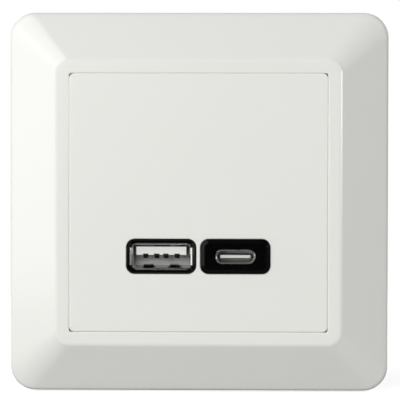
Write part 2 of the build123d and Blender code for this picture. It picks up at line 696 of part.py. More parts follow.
with BuildPart() as usb_c_insulator:
    with BuildSketch(front(shell_base)):
        with Locations((port_c_x, port_z)):
            inset = 2 * (C_SHEET + INSULATOR_CLEARANCE)
            SlotOverall(C_WIDTH - inset, C_HEIGHT - inset)
    extrude(amount=C_BASE_HEIGHT)
    with BuildSketch(front(base_c_top)):
        with Locations((port_c_x, port_z)):
            Rectangle(C_TONGUE_WIDTH, C_TONGUE_THICK)
    extrude(amount=tongue_c_tip - base_c_top)

# Right port's contacts: two rows of flat strips on the tongue
with BuildPart() as usb_c_contacts:
    with BuildSketch(front(base_c_top)):
        with Locations((port_c_x, port_z)):
            with GridLocations(C_CONTACT_PITCH, C_TONGUE_THICK + C_CONTACT_THICK, C_CONTACT_COUNT, 2):
                Rectangle(C_CONTACT_WIDTH, C_CONTACT_THICK)
    extrude(amount=tongue_c_tip - base_c_top - C_CONTACT_SUNK)

# Circuit boards: one staked on the front shell's pins, the other held between the two shells
with BuildPart() as port_board:
    with BuildSketch(behind(port_board_rear)):
        with Locations((0, port_board_z)):
            Rectangle(port_board_width, port_board_height)
        chamfer(vertices(), PORT_BOARD_CORNER_CUT)
        with Locations(*port_pin_places):
            Rectangle(PIN_WIDTH + 2 * PIN_CLEARANCE, PIN_WIDTH + 2 * PIN_CLEARANCE, mode=Mode.SUBTRACT)
    extrude(amount=BOARD_THICK)

with BuildPart() as main_board:
    with BuildSketch(behind(main_board_rear)):
        Rectangle(main_board_size, main_board_size)
        chamfer(vertices(), MAIN_BOARD_CORNER_CUT)
    extrude(amount=BOARD_THICK)

with BuildPart() as board_header:
    with BuildSketch(behind(port_board_rear)):
        with Locations((0, port_z + HEADER_RISE)):
            Rectangle(HEADER_WIDTH, HEADER_HEIGHT)
    extrude(amount=port_board_rear - MAIN_BOARD_DEPTH + HEADER_BODY_GAP)
    with BuildSketch(behind(MAIN_BOARD_DEPTH)):
        with Locations((0, port_z + HEADER_RISE)):
            with GridLocations(HEADER_WIDTH / HEADER_PINS, 0, HEADER_PINS, 1):
                Rectangle(HEADER_PIN_WIDTH, HEADER_PIN_WIDTH)
    extrude(amount=HEADER_BODY_GAP)


def chip(size, place, depth, way):
    """Make a chip on a board's face at a depth, rising to the room (1) or to the wall box (-1)."""
    width, height, thick = size
    with BuildPart() as made:
        with BuildSketch(behind(depth)):
            with Locations(place):
                Rectangle(width, height)
        extrude(amount=way * thick)
        ends = made.faces().filter_by(Axis.Y).sort_by(Axis.Y)
        chamfer(ends[0 if way > 0 else -1].edges(), CHIP_CHAMFER)
    return made


def boxed_part(size, place):
    """Make a boxed component that stands on the main board's rear, bevelled at its free end."""
    width, height, length = size
    with BuildPart() as made:
        with BuildSketch(behind(main_board_rear)):
            with Locations(place):
                Rectangle(width, height)
        extrude(amount=-length)
        chamfer(made.faces().sort_by(Axis.Y)[-1].edges(), BOX_EDGE_CHAMFER)
    return made


def cans(size, places):
    """Make a group of capacitor cans that stand on the main board's rear."""
    radius, length = size
    with BuildPart() as made:
        with BuildSketch(behind(main_board_rear)):
            with Locations(*places):
                Circle(radius)
        extrude(amount=-length)
    return made


charge_controller = chip(CHARGE_CHIP, (0, port_z), port_board_rear, -1)
controller_chip = chip(CONTROLLER_CHIP, CONTROLLER_PLACE, MAIN_BOARD_DEPTH, 1)
bridge_rectifier = chip(BRIDGE_CHIP, (BRIDGE_INSET - board_reach, BRIDGE_RISE), MAIN_BOARD_DEPTH, 1)
opto_isolator = chip(OPTO_CHIP, (OPTO_OFFSET, OPTO_INSET - board_reach), main_board_rear, -1)
safety_capacitor = boxed_part(SAFETY_BOX, (can_reach, SAFETY_RISE))
fuse = boxed_part(FUSE_BOX, FUSE_PLACE)
filter_inductor = boxed_part(INDUCTOR_BOX, INDUCTOR_PLACE)

input_capacitors = cans(INPUT_CAN, [(-can_reach, rise) for rise in INPUT_CAN_RISES])
output_drop = pillar_reach - PILLAR_WIDTH / 2 - OUTPUT_CAN_CLEARANCE - OUTPUT_CAN[0]
output_capacitor = cans(OUTPUT_CAN, [(can_reach, -output_drop)])

# Transformer: a core with two windows, a flanged bobbin round its middle leg, and the winding
core_x, core_z = CORE_PLACE
core_front = main_board_rear + CORE_STANDOFF
core_window = (CORE_WIDTH - CORE_LEG - 2 * CORE_SIDE_LEG) / 2
core_depth = rear_wall_inside - CORE_CLEARANCE - core_front
window_depth = core_depth - 2 * CORE_YOKE
bobbin_front = core_front + CORE_YOKE + BOBBIN_CLEARANCE
bobbin_length = window_depth - 2 * BOBBIN_CLEARANCE
flange_width = CORE_LEG + 2 * core_window - 2 * BOBBIN_CLEARANCE
winding_width = flange_width - 2 * WINDING_MARGIN
winding_height = BOBBIN_HEIGHT - 2 * WINDING_MARGIN
sleeve_inner = (CORE_LEG + 2 * BOBBIN_CLEARANCE, CORE_THICK + 2 * BOBBIN_CLEARANCE)
sleeve_outer = (sleeve_inner[0] + 2 * BOBBIN_WALL, sleeve_inner[1] + 2 * BOBBIN_WALL)

with BuildPart() as transformer_core:
    with BuildSketch(Plane.XY.offset(core_z)):
        with Locations((core_x, core_front + core_depth / 2)):
            Rectangle(CORE_WIDTH, core_depth)
            with GridLocations(CORE_LEG + core_window, 0, 2, 1):
                Rectangle(core_window, window_depth, mode=Mode.SUBTRACT)
    extrude(amount=CORE_THICK / 2, both=True)

with BuildPart() as transformer_bobbin:
    with BuildSketch(behind(bobbin_front)):
        with Locations(CORE_PLACE):
            Rectangle(*sleeve_outer)
    extrude(amount=-bobbin_length)
    for depth in (bobbin_front, bobbin_front + bobbin_length - BOBBIN_WALL):
        with BuildSketch(behind(depth)):
            with Locations(CORE_PLACE):
                Rectangle(flange_width, BOBBIN_HEIGHT)
        extrude(amount=-BOBBIN_WALL)
    with BuildSketch(behind(main_board_rear)):
        with Locations(CORE_PLACE):
            with GridLocations(0, BOBBIN_HEIGHT - BOBBIN_RAIL, 1, 2):
                Rectangle(flange_width, BOBBIN_RAIL)
    extrude(amount=main_board_rear - bobbin_front)
    with BuildSketch(behind(bobbin_front)):
        with Locations(CORE_PLACE):
            Rectangle(*sleeve_inner)
    extrude(amount=-bobbin_length, mode=Mode.SUBTRACT)

with BuildPart() as transformer_winding:
    with BuildSketch(behind(bobbin_front + BOBBIN_WALL)):
        with Locations(CORE_PLACE):
            RectangleRounded(winding_width, winding_height, WINDING_CORNER)
            Rectangle(*sleeve_outer, mode=Mode.SUBTRACT)
    extrude(amount=2 * BOBBIN_WALL - bobbin_length)

# Terminal block with a chamber, a screw hole and a wire entry for each pole
chamber_middle = (chamber_bottom + chamber_top) / 2
pole_places = (-POLE_SPACING / 2, POLE_SPACING / 2)

with BuildPart() as terminal_block:
    with BuildSketch(behind(HOUSING_DEPTH)):
        with Locations((0, (terminal_bottom + terminal_top) / 2)):
            Rectangle(terminal_width, TERMINAL_HEIGHT)
    extrude(amount=HOUSING_DEPTH - main_board_rear)
    rear_edges = terminal_block.faces().sort_by(Axis.Y)[-1].edges()
    chamfer(rear_edges.sort_by(Axis.Z)[-1], HOUSING_EDGE_CHAMFER)
    with BuildSketch(behind(chamber_end)):
        with Locations((0, chamber_middle)):
            with GridLocations(POLE_SPACING, 0, 2, 1):
                Rectangle(chamber_width, chamber_top - chamber_bottom)
    extrude(amount=chamber_end - main_board_rear, mode=Mode.SUBTRACT)
    for depth, floor, radius in (
        (HOUSING_DEPTH, shoulder_face, SCREW_HEAD_RADIUS + HEAD_CLEARANCE),
        (shoulder_face, chamber_end, SCREW_RADIUS + SHANK_CLEARANCE),
    ):
        with BuildSketch(behind(depth)):
            with Locations((0, clamp_middle)):
                with GridLocations(POLE_SPACING, 0, 2, 1):
                    Circle(radius)
        extrude(amount=depth - floor, mode=Mode.SUBTRACT)
    with BuildSketch(Plane.XY.offset(chamber_top)):
        with Locations((0, wire_depth)):
            with GridLocations(POLE_SPACING, 0, 2, 1):
                Circle(WIRE_ENTRY_RADIUS)
    extrude(amount=CHAMBER_ROOF, mode=Mode.SUBTRACT)


def fixed_bar(place_x):
    """Make the bent bar that the wire is pressed against, with its leg on the main board."""
    with BuildPart() as made:
        with BuildSketch(Plane.YZ.offset(place_x)):
            with BuildLine():
                Polyline(
                    (main_board_rear, chamber_bottom),
                    (bar_rear, chamber_bottom),
                    (bar_rear, chamber_top),
                    (bar_front, chamber_top),
                    (bar_front, leg_top),
                    (main_board_rear, leg_top),
                    close=True,
                )
            make_face()
        extrude(amount=bar_width / 2, both=True)
    return made


def rising_clamp(place_x):
    """Make the box clamp that the screw draws towards its head, open as at rest."""
    with BuildPart() as made:
        with BuildSketch(Plane.XY.offset(clamp_bottom)):
            with Locations((place_x, (jaw_front + clamp_nut_rear) / 2)):
                Rectangle(CLAMP_WIDTH, clamp_nut_rear - jaw_front)
            with Locations((place_x, (jaw_rear + clamp_nut_front) / 2)):
                Rectangle(CLAMP_WIDTH - 2 * CLAMP_SIDE, clamp_nut_front - jaw_rear, mode=Mode.SUBTRACT)
        extrude(amount=CLAMP_HEIGHT)
        with BuildSketch(behind(clamp_nut_rear)):
            with Locations((place_x, clamp_middle)):
                Circle(SCREW_RADIUS + THREAD_CLEARANCE)
        extrude(amount=CLAMP_NUT, mode=Mode.SUBTRACT)
    return made


def terminal_screw(place_x):
    """Make the captive screw that turns in the block and draws the clamp."""
    with BuildPart() as made:
        add(pan_screw(place_x, clamp_middle, head_seat, bar_rear + TIP_CLEARANCE, 1))
    return made


pieces = {
    "surround_frame": surround_frame,
    "centre_plate": centre_plate,
    "support_plate": support_plate,
    "plate_screws": plate_screws,
    "front_housing": front_housing,
    "rear_housing": rear_housing,
    "usb_a_shell": usb_a_shell,
    "usb_a_insulator": usb_a_insulator,
    "usb_a_contacts": usb_a_contacts,
    "usb_c_shell": usb_c_shell,
    "usb_c_insulator": usb_c_insulator,
    "usb_c_contacts": usb_c_contacts,
    "port_board": port_board,
    "main_board": main_board,
    "board_header": board_header,
    "charge_controller": charge_controller,
    "controller_chip": controller_chip,
    "bridge_rectifier": bridge_rectifier,
    "opto_isolator": opto_isolator,
    "safety_capacitor": safety_capacitor,
    "fuse": fuse,
    "input_capacitors": input_capacitors,
    "output_capacitor": output_capacitor,
    "filter_inductor": filter_inductor,
    "transformer_core": transformer_core,
    "transformer_bobbin": transformer_bobbin,
    "transformer_winding": transformer_winding,
    "terminal_block": terminal_block,
}
for pole, place_x in zip(("line", "neutral"), pole_places):
    pieces[f"{pole}_bar"] = fixed_bar(place_x)
    pieces[f"{pole}_clamp"] = rising_clamp(place_x)
    pieces[f"{pole}_screw"] = terminal_screw(place_x)

os.makedirs("parts", exist_ok=True)
for name, piece in pieces.items():
    piece.part.label = name
    export_step(piece.part, f"parts/{name}.step")
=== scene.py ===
"""Looks for a double USB charging wall socket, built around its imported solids."""
import logging
from dataclasses import dataclass
from enum import Enum
from math import atan2, copysign, cos, hypot, pi, radians, sin, tan, tau
from typing import Callable, Sequence

import bmesh
import bpy
from bmesh.types import BMesh
from bpy.types import ID, Material, Mesh, Node, NodeSocket, NodeTree, Object
from mathutils import Matrix, Vector


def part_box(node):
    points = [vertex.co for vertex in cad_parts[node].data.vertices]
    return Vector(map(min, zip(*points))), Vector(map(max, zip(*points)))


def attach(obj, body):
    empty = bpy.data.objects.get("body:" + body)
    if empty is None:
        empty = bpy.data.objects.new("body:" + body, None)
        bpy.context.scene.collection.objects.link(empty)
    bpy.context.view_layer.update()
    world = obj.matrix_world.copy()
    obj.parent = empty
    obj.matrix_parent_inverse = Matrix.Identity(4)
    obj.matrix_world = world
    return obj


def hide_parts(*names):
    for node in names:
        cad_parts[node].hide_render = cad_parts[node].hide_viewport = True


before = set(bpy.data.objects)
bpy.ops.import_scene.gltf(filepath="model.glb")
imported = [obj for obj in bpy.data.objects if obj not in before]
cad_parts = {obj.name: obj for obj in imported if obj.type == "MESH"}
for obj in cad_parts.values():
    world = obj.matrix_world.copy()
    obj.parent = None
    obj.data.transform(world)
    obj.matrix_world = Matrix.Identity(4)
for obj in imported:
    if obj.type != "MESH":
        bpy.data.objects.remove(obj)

logging.basicConfig(level=logging.INFO, format="%(message)s")
log = logging.getLogger("wall_socket")

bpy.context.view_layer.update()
MM = 0.001
QUARTER = pi / 2

Colour = tuple[float, float, float]
Point = tuple[float, float, float]
Pair = tuple[float, float]
# A rounded square in millimetres: height in front of the wall, reach, which is half a side, and corner radius
Ring = tuple[float, float, float]
# A shared surface group, a finish's own values for it, and the shader's constants
Surface = tuple[NodeTree, dict[str, object], dict[str, float]]
# How many copies stand in a line, and the way from one to the next in millimetres
Line = tuple[int, Point]
SINGLE: Line = (1, (0, 0, 0))

# Edges that turn by fewer degrees than this are shaded smooth
SHARP_ANGLE = 32.0
# Faces of a solid that turn by fewer degrees than this become one face
FLAT_ANGLE = 0.6
# Points closer than this become one, on a solid and on a skin of rings, in millimetres
SOLID_WELD = 0.002
SKIN_WELD = 0.0005
# A point of a solid this close to a plane or a crest belongs to it, in millimetres
TOUCH = 0.02
# The height of every finish's grain, in millimetres
GRAIN_DEPTH = 0.02
# The softly broken edges beside the hairline gap: run and drop in millimetres, and steps as shares of these
BREAK_RUN = 0.28
BREAK_DROP = 0.17
BREAK_STEPS = ((0.0, 0.0), (0.25, 0.08), (0.75, 0.62), (0.95, 0.92), (1.0, 1.15))


class Body(Enum):
    """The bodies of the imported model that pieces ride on."""

    SOCKET = "socket"
    LINE_SCREW = "line_screw"
    LINE_CLAMP = "line_clamp"
    NEUTRAL_SCREW = "neutral_screw"
    NEUTRAL_CLAMP = "neutral_clamp"


class Ends(Enum):
    """What becomes of the first and the last ring of a skin."""

    JOINED = "joined to each other"
    FILLED = "filled with a face each"
    POINTED = "left, as single points"


@dataclass
class Graph:
    """A shader or geometry tree that is being written."""

    tree: NodeTree

    def __post_init__(self) -> None:
        """Empty the tree."""
        self.tree.nodes.clear()

    def node(self, kind: str, inputs: dict | None = None, **settings: object) -> Node:
        """Add a node.

        Args:
            kind: The node's type name.
            inputs: Values or output sockets for its inputs, by name or index.
            settings: Properties of the node itself.

        Returns:
            The new node.
        """
        made = self.tree.nodes.new(kind)
        for name, value in settings.items():
            setattr(made, name, value)
        for key, value in (inputs or {}).items():
            if isinstance(value, NodeSocket):
                self.tree.links.new(value, made.inputs[key])
            else:
                made.inputs[key].default_value = value
        return made

    def math(self, operation: str, *values: object) -> NodeSocket:
        """Add a Math node with numbers or sockets, and give its value."""
        return self.node("ShaderNodeMath", dict(enumerate(values)), operation=operation).outputs[0]

    def remap(self, value: NodeSocket, band: Pair) -> NodeSocket:
        """Stretch a band of values to the range from nought to one, and clamp what lies outside."""
        return self.node("ShaderNodeMapRange", {0: value, 1: band[0], 2: band[1]}).outputs[0]

    def noise(self, vector: NodeSocket, scale: object, detail: float) -> NodeSocket:
        """Give a noise texture with a scale in cycles per metre and octaves of detail."""
        inputs = {"Vector": vector, "Scale": scale, "Detail": detail}
        return self.node("ShaderNodeTexNoise", inputs).outputs[0]

    def swing(self, value: NodeSocket, amount: NodeSocket, base: object = 0.0,
              mean: float = 0.5) -> NodeSocket:
        """Move a base up and down by an amount, as a texture's value swings about its mean."""
        return self.math("MULTIPLY_ADD", self.math("SUBTRACT", value, mean), amount, base)

    def tinted(self, colour: NodeSocket, change: NodeSocket) -> NodeSocket:
        """Make a colour lighter and darker by twice a change."""
        share = self.math("MULTIPLY_ADD", change, 2.0, 1.0)
        return self.node("ShaderNodeVectorMath", {0: colour, "Scale": share}, operation="SCALE").outputs[0]


def new_group(name: str, takes: dict[str, object]) -> tuple[Graph, dict[str, NodeSocket]]:
    """Start a shader node group that puts out a surface's colour, roughness and height.

    Args:
        name: The group's name.
        takes: Its inputs, each with a default number or colour.

    Returns:
        The graph, and the sockets of its inputs by name.
    """
    tree = bpy.data.node_groups.new(name, "ShaderNodeTree")
    for key, value in takes.items():
        kind = "NodeSocketFloat" if isinstance(value, float) else "NodeSocketColor"
        tree.interface.new_socket(name=key, in_out="INPUT", socket_type=kind).default_value = value
    for key, kind in (("Color", "Color"), ("Roughness", "Float"), ("Height", "Float")):
        tree.interface.new_socket(name=key, in_out="OUTPUT", socket_type="NodeSocket" + kind)
    graph = Graph(tree)
    entry = graph.node("NodeGroupInput")
    return graph, {key: entry.outputs[key] for key in takes}


def moulded_group() -> NodeTree:
    """Make the surface of a moulding: fine grain, slow drift of tone, and faint handling marks.

    Returns:
        The shader group.
    """
    graph, takes = new_group("moulded_surface", {
        "Color": (0.5, 0.5, 0.5, 1.0), "Drift": 0.02, "Grain Scale": 5000.0,
        "Roughness": 0.4, "Spread": 0.06})
    place = graph.node("ShaderNodeTexCoord").outputs["Object"]
    drift = graph.noise(place, scale=22.0, detail=3.0)
    grain = graph.noise(place, scale=takes["Grain Scale"], detail=2.0)
    marks = graph.remap(graph.noise(place, scale=90.0, detail=5.0), band=(0.35, 0.75))
    rough = graph.swing(marks, takes["Spread"], takes["Roughness"], mean=0.4)
    graph.node("NodeGroupOutput", {
        "Color": graph.tinted(takes["Color"], graph.swing(drift, takes["Drift"])),
        "Roughness": graph.swing(grain, takes["Spread"], rough),
        "Height": grain})
    return graph.tree


def plated_group() -> NodeTree:
    """Make the surface of plated or drawn metal: crystals in the plating, streaks and dull spots.

    Returns:
        The shader group.
    """
    streak_pull, rough_share = (1.0, 9.0, 9.0), 0.6
    graph, takes = new_group("plated_surface", {
        "Color": (0.6, 0.6, 0.6, 1.0), "Crystal": 0.05, "Crystal Scale": 260.0, "Streak": 0.04,
        "Roughness": 0.3, "Spread": 0.1})
    place = graph.node("ShaderNodeTexCoord").outputs["Object"]
    cells = graph.node("ShaderNodeTexVoronoi", {"Vector": place, "Scale": takes["Crystal Scale"]})
    grey = graph.node("ShaderNodeRGBToBW", {0: cells.outputs["Color"]}).outputs[0]
    drawn = graph.node("ShaderNodeMapping", {"Vector": place, "Scale": streak_pull}).outputs[0]
    streak = graph.noise(drawn, scale=420.0, detail=3.0)
    change = graph.swing(grey, takes["Crystal"])
    change = graph.swing(streak, takes["Streak"], change)
    dull = graph.remap(graph.noise(place, scale=130.0, detail=4.0), band=(0.4, 0.75))
    rough = graph.math("MULTIPLY_ADD", dull, takes["Spread"], takes["Roughness"])
    graph.node("NodeGroupOutput", {
        "Color": graph.tinted(takes["Color"], change),
        "Roughness": graph.math("MULTIPLY_ADD", change, rough_share, rough),
        "Height": graph.math("ADD", streak, grey)})
    return graph.tree


MOULDED = moulded_group()
PLATED = plated_group()


@dataclass(frozen=True)
class Finish:
    """One finish of the record's slots, made into a material with its own surface.

    Its colour is linear, spread is how far its roughness varies, and bump is the strength of its grain.
    """

    slot: str
    name: str
    colour: Colour
    roughness: float
    spread: float
    bump: float

    def surface(self) -> Surface:
        """Give the surface of this kind of finish."""
        raise NotImplementedError

    def material(self) -> Material:
        """Give the material, made the first time it is asked for.

        Returns:
            The finished material.
        """
        if self.name in bpy.data.materials:
            return bpy.data.materials[self.name]
        made = bpy.data.materials.new(self.name)
        made.diffuse_color, made.use_nodes = (*self.colour, 1.0), True
        graph = Graph(made.node_tree)
        group, values, gloss = self.surface()
        values |= {"Color": (*self.colour, 1.0), "Roughness": self.roughness, "Spread": self.spread}
        surface = graph.node("ShaderNodeGroup", values, node_tree=group).outputs
        bump = graph.node("ShaderNodeBump", {
            "Strength": self.bump, "Distance": GRAIN_DEPTH * MM, "Height": surface["Height"]})
        shader = graph.node("ShaderNodeBsdfPrincipled", {
            "Base Color": surface["Color"], "Roughness": surface["Roughness"], "Normal": bump.outputs[0],
            **gloss})
        graph.node("ShaderNodeOutputMaterial", {"Surface": shader.outputs[0]})
        return made


@dataclass(frozen=True)
class Moulding(Finish):
    """A moulded plastic, with the drift of its tone, its grains per metre and its specular level."""

    drift: float = 0.02
    grain: float = 5000.0
    specular: float = 0.5

    def surface(self) -> Surface:
        """Give the moulded surface with this plastic's drift and grain, and its specular level."""
        values = {"Drift": self.drift, "Grain Scale": self.grain}
        return MOULDED, values, {"Specular IOR Level": self.specular}


@dataclass(frozen=True)
class Plating(Finish):
    """A plated or bare metal, with how strongly its crystals show, how many a metre has, and its streaks."""

    crystal: float = 0.05
    crystals: float = 260.0
    streak: float = 0.04

    def surface(self) -> Surface:
        """Give the plated surface with this metal's crystals and streaks, and make the shader a metal."""
        values = {"Crystal": self.crystal, "Crystal Scale": self.crystals, "Streak": self.streak}
        return PLATED, values, {"Metallic": 1.0}


class Look(Enum):
    """The finishes of the pieces."""

    WHITE = Moulding(
        "white_plastic", "satin_white", (0.80, 0.805, 0.765), 0.2, 0.04, 0.04, drift=0.006, specular=0.6)
    BLACK = Moulding(
        "black_plastic", "smooth_black", (0.001, 0.001, 0.001), 0.2, 0.05, 0.06, drift=0.06, grain=4200.0,
        specular=0.15)
    GRAINED_BLACK = Moulding(
        "black_plastic", "grained_black", (0.014, 0.014, 0.015), 0.42, 0.12, 0.3, drift=0.12, grain=2600.0)
    ZINC = Plating("zinc_steel", "zinc_sheet", (0.50, 0.51, 0.53), 0.36, 0.12, 0.1, crystals=480.0)
    SCREW = Plating("screw_steel", "bright_screw", (0.66, 0.66, 0.65), 0.24, 0.1, 0.08, crystals=900.0)
    PORT = Plating(
        "port_steel", "nickel_port", (0.70, 0.70, 0.685), 0.24, 0.08, 0.06, crystal=0.03, crystals=1500.0)
    TONGUE = Moulding("tongue_plastic", "white_tongue", (0.76, 0.76, 0.735), 0.45, 0.06, 0.08)
    GREY_TONGUE = Moulding("tongue_plastic", "grey_tongue", (0.62, 0.62, 0.60), 0.4, 0.06, 0.08)
    # The gold contacts are painted dark brown-grey: painted shade, standing in for the shade in the ports'
    # grooves where they sit
    GOLD = Plating(
        "contact_gold", "shade_darkened_contact", (0.22, 0.18, 0.12), 0.34, 0.1, 0.05, crystal=0.03, crystals=2000.0)
    BOARD = Moulding(
        "board_green", "solder_mask", (0.012, 0.075, 0.035), 0.3, 0.12, 0.2, drift=0.2, grain=2600.0)
    CHIP = Moulding(
        "chip_black", "chip_resin", (0.022, 0.022, 0.024), 0.55, 0.1, 0.4, drift=0.1, grain=9000.0)
    FERRITE = Moulding("ferrite", "ferrite", (0.06, 0.06, 0.065), 0.6, 0.15, 0.6, drift=0.2, grain=3000.0)
    BOBBIN = Moulding("bobbin_plastic", "bobbin_resin", (0.03, 0.03, 0.03), 0.45, 0.1, 0.2, drift=0.1)
    TAPE = Moulding(
        "winding_tape", "winding_tape", (0.78, 0.58, 0.10), 0.28, 0.12, 0.15, drift=0.1, grain=1500.0)
    CAN = Moulding(
        "can_sleeve", "can_sleeve", (0.03, 0.035, 0.07), 0.25, 0.1, 0.08, drift=0.1, grain=1200.0)
    BOX = Moulding("box_yellow", "cast_box", (0.70, 0.50, 0.07), 0.4, 0.1, 0.15, drift=0.06)
    FUSE = Moulding("fuse_brown", "fuse_box", (0.17, 0.09, 0.05), 0.42, 0.1, 0.2, drift=0.08)
    TERMINAL = Moulding(
        "terminal_grey", "terminal_grey", (0.27, 0.28, 0.29), 0.42, 0.1, 0.25, drift=0.05, grain=4200.0)
    BRASS = Plating("terminal_brass", "plain_brass", (0.76, 0.56, 0.24), 0.3, 0.14, 0.08, streak=0.08)
    CLAMP = Plating(
        "clamp_steel", "zinc_clamp", (0.58, 0.59, 0.60), 0.32, 0.12, 0.1, crystal=0.08, crystals=700.0)


def add_object(name: str, data: ID) -> Object:
    """Link a new object at the origin.

    Args:
        name: The object's name.
        data: Its mesh, lamp or camera.

    Returns:
        The object.
    """
    made = bpy.data.objects.new(name, data)
    bpy.context.scene.collection.objects.link(made)
    return made


def stored(work: BMesh, name: str) -> Mesh:
    """Turn a working shape into a new mesh.

    Args:
        work: The working shape, which is freed.
        name: The mesh's name.

    Returns:
        The mesh.
    """
    mesh = bpy.data.meshes.new(name)
    work.to_mesh(mesh)
    work.free()
    return mesh


def merged(node: str) -> BMesh:
    """Copy a node's solid and join its loose triangles.

    Args:
        node: The node's name.

    Returns:
        A closed working shape with flat faces joined.
    """
    work = bmesh.new()
    work.from_mesh(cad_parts[node].data)
    bmesh.ops.remove_doubles(work, verts=work.verts, dist=SOLID_WELD * MM)
    bmesh.ops.dissolve_limit(work, angle_limit=radians(FLAT_ANGLE), verts=work.verts, edges=work.edges)
    return work


def shade(mesh: Mesh, angle: float = SHARP_ANGLE) -> None:
    """Shade a mesh smoothly and keep its sharper edges crisp.

    Args:
        mesh: The mesh to shade.
        angle: The turn in degrees from which an edge is crisp.
    """
    work = bmesh.new()
    work.from_mesh(mesh)
    for face in work.faces:
        face.smooth = True
    for edge in work.edges:
        edge.smooth = edge.calc_face_angle(0.0) < radians(angle)
    work.to_mesh(mesh)
    work.free()


def bake(piece: Object) -> None:
    """Turn a piece's modifiers into a plain mesh.

    Args:
        piece: The object, whose modifiers are removed.
    """
    bpy.context.view_layer.update()
    graph = bpy.context.evaluated_depsgraph_get()
    mesh = bpy.data.meshes.new_from_object(piece.evaluated_get(graph))
    piece.modifiers.clear()
    piece.data = mesh


def smooth(piece: Object, angle: float = SHARP_ANGLE, ease: float = 0.0, steps: int = 2) -> None:
    """Shade a piece, led by its large faces, and ease its edges where a width is given.

    Args:
        piece: The object, whose mesh is replaced.
        angle: The turn in degrees from which an edge is crisp, or eased.
        ease: The width of the easing in millimetres.
        steps: Steps across the easing.
    """
    shade(piece.data, angle)
    if ease:
        bevel = piece.modifiers.new("ease", "BEVEL")
        bevel.width, bevel.segments, bevel.use_clamp_overlap = ease * MM, steps, True
        bevel.limit_method, bevel.angle_limit = "ANGLE", radians(angle)
    even = piece.modifiers.new("even", "WEIGHTED_NORMAL")
    even.mode, even.weight, even.keep_sharp = "FACE_AREA", 100, True
    bake(piece)


def cut_away(piece: Object, tool: Mesh) -> None:
    """Cut a shape out of a piece.

    Args:
        piece: The object, whose mesh is replaced.
        tool: The closed shape that is taken out.
    """
    cutter = add_object("cutter", tool)
    cut = piece.modifiers.new("cut", "BOOLEAN")
    cut.operation, cut.object, cut.solver = "DIFFERENCE", cutter, "EXACT"
    bake(piece)
    bpy.data.objects.remove(cutter)


def settle(piece: Object, look: Look, nodes: Sequence[str] = (), body: Body = Body.SOCKET) -> Object:
    """Give a finished piece its material and body, and hide the nodes it stands for.

    Args:
        piece: The finished object.
        look: The finish it takes.
        nodes: The nodes it stands for.
        body: The body it rides on.

    Returns:
        The same object.
    """
    piece.data.materials.clear()
    piece.data.materials.append(look.value.material())
    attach(piece, body.value)
    if nodes:
        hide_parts(*nodes)
    return piece


def eased(node: str, look: Look, ease: float, body: Body = Body.SOCKET, angle: float = SHARP_ANGLE,
          steps: int = 2, work: BMesh | None = None) -> Object:
    """Stand a copy of a node with eased edges in for it.

    Args:
        node: The node's name.
        look: Its finish.
        ease: The width of the easing in millimetres.
        body: The body it rides on.
        angle: The least turn of an edge that is eased, in degrees.
        steps: Steps across the easing.
        work: A reshaped copy of the node to start from.

    Returns:
        The piece.
    """
    name = node + "_dressed"
    piece = add_object(name, stored(work or merged(node), name))
    smooth(piece, angle, ease, steps)
    return settle(piece, look, [node], body)


def rounded_ring(half: Pair, corner: float, height: float, arc: int, run: int = 1,
                 centre: Pair = (0.0, 0.0)) -> list[Vector]:
    """Give the points of a rounded oblong that faces the room.

    Args:
        half: Half its width and half its height in millimetres.
        corner: Its corner radius in millimetres.
        height: Its height in front of the wall in millimetres.
        arc: Steps round each corner.
        run: Steps along each straight side.
        centre: Its middle, across and up, in millimetres.

    Returns:
        The points in metres, the same number for any size.
    """
    bends = []
    for turn, (side, rise) in enumerate(((1, 1), (-1, 1), (-1, -1), (1, -1))):
        x, z = centre[0] + side * (half[0] - corner), centre[1] + rise * (half[1] - corner)
        angles = [QUARTER * (turn + step / arc) for step in range(arc + 1)]
        bends.append([(x + corner * cos(a), z + corner * sin(a)) for a in angles])
    points = []
    for bend, after in zip(bends, bends[1:] + bends[:1]):
        points += bend
        for step in range(1, run):
            points.append(tuple(a + (b - a) * step / run for a, b in zip(bend[-1], after[0])))
    return [Vector((x, -height, z)) * MM for x, z in points]


def skin(name: str, rings: Sequence[Sequence[Vector]], ends: Ends) -> Mesh:
    """Join rings of points with quads.

    Args:
        name: The mesh's name.
        rings: Rings with the same number of points.
        ends: What becomes of the first and the last ring.

    Returns:
        The closed mesh, with its faces outwards.
    """
    work = bmesh.new()
    grid = [[work.verts.new(point) for point in ring] for ring in rings]
    pairs = list(zip(grid, grid[1:]))
    if ends is Ends.JOINED:
        pairs.append((grid[-1], grid[0]))
    for low, high in pairs:
        for i in range(len(low)):
            j = (i + 1) % len(low)
            work.faces.new((low[i], low[j], high[j], high[i]))
    if ends is Ends.FILLED:
        work.faces.new(grid[0])
        work.faces.new(grid[-1])
    bmesh.ops.remove_doubles(work, verts=work.verts, dist=SKIN_WELD * MM)
    bmesh.ops.recalc_face_normals(work, faces=work.faces)
    return stored(work, name)


def broken_edge(face: float, reach: float, corner: float, way: int) -> list[Ring]:
    """Give a softly broken edge from the face to the side of an opening (way 1) or of a slab (way -1)."""
    steps = [(BREAK_DROP * fall, way * BREAK_RUN * (1 - share)) for share, fall in BREAK_STEPS]
    return [(face - drop, reach + left, corner + left) for drop, left in steps]


def lofted(name: str, rings: Sequence[Ring], steps: tuple[int, int], ends: Ends) -> Object:
    """Build a piece through rounded squares, with steps round each corner and along each side."""
    points = [rounded_ring((reach, reach), corner, height, *steps) for height, reach, corner in rings]
    return add_object(name, skin(name, points, ends))


def prism(name: str, outline: Sequence[Pair], middle: float, half: float,
          place: Callable[[float, float, float], Point]) -> Mesh:
    """Extrude a polygon to both sides of a middle, with its three coordinates placed in the shared frame."""
    ends = (middle - half, middle + half)
    return skin(name, [[Vector(place(u, v, w)) * MM for u, v in outline] for w in ends], Ends.FILLED)


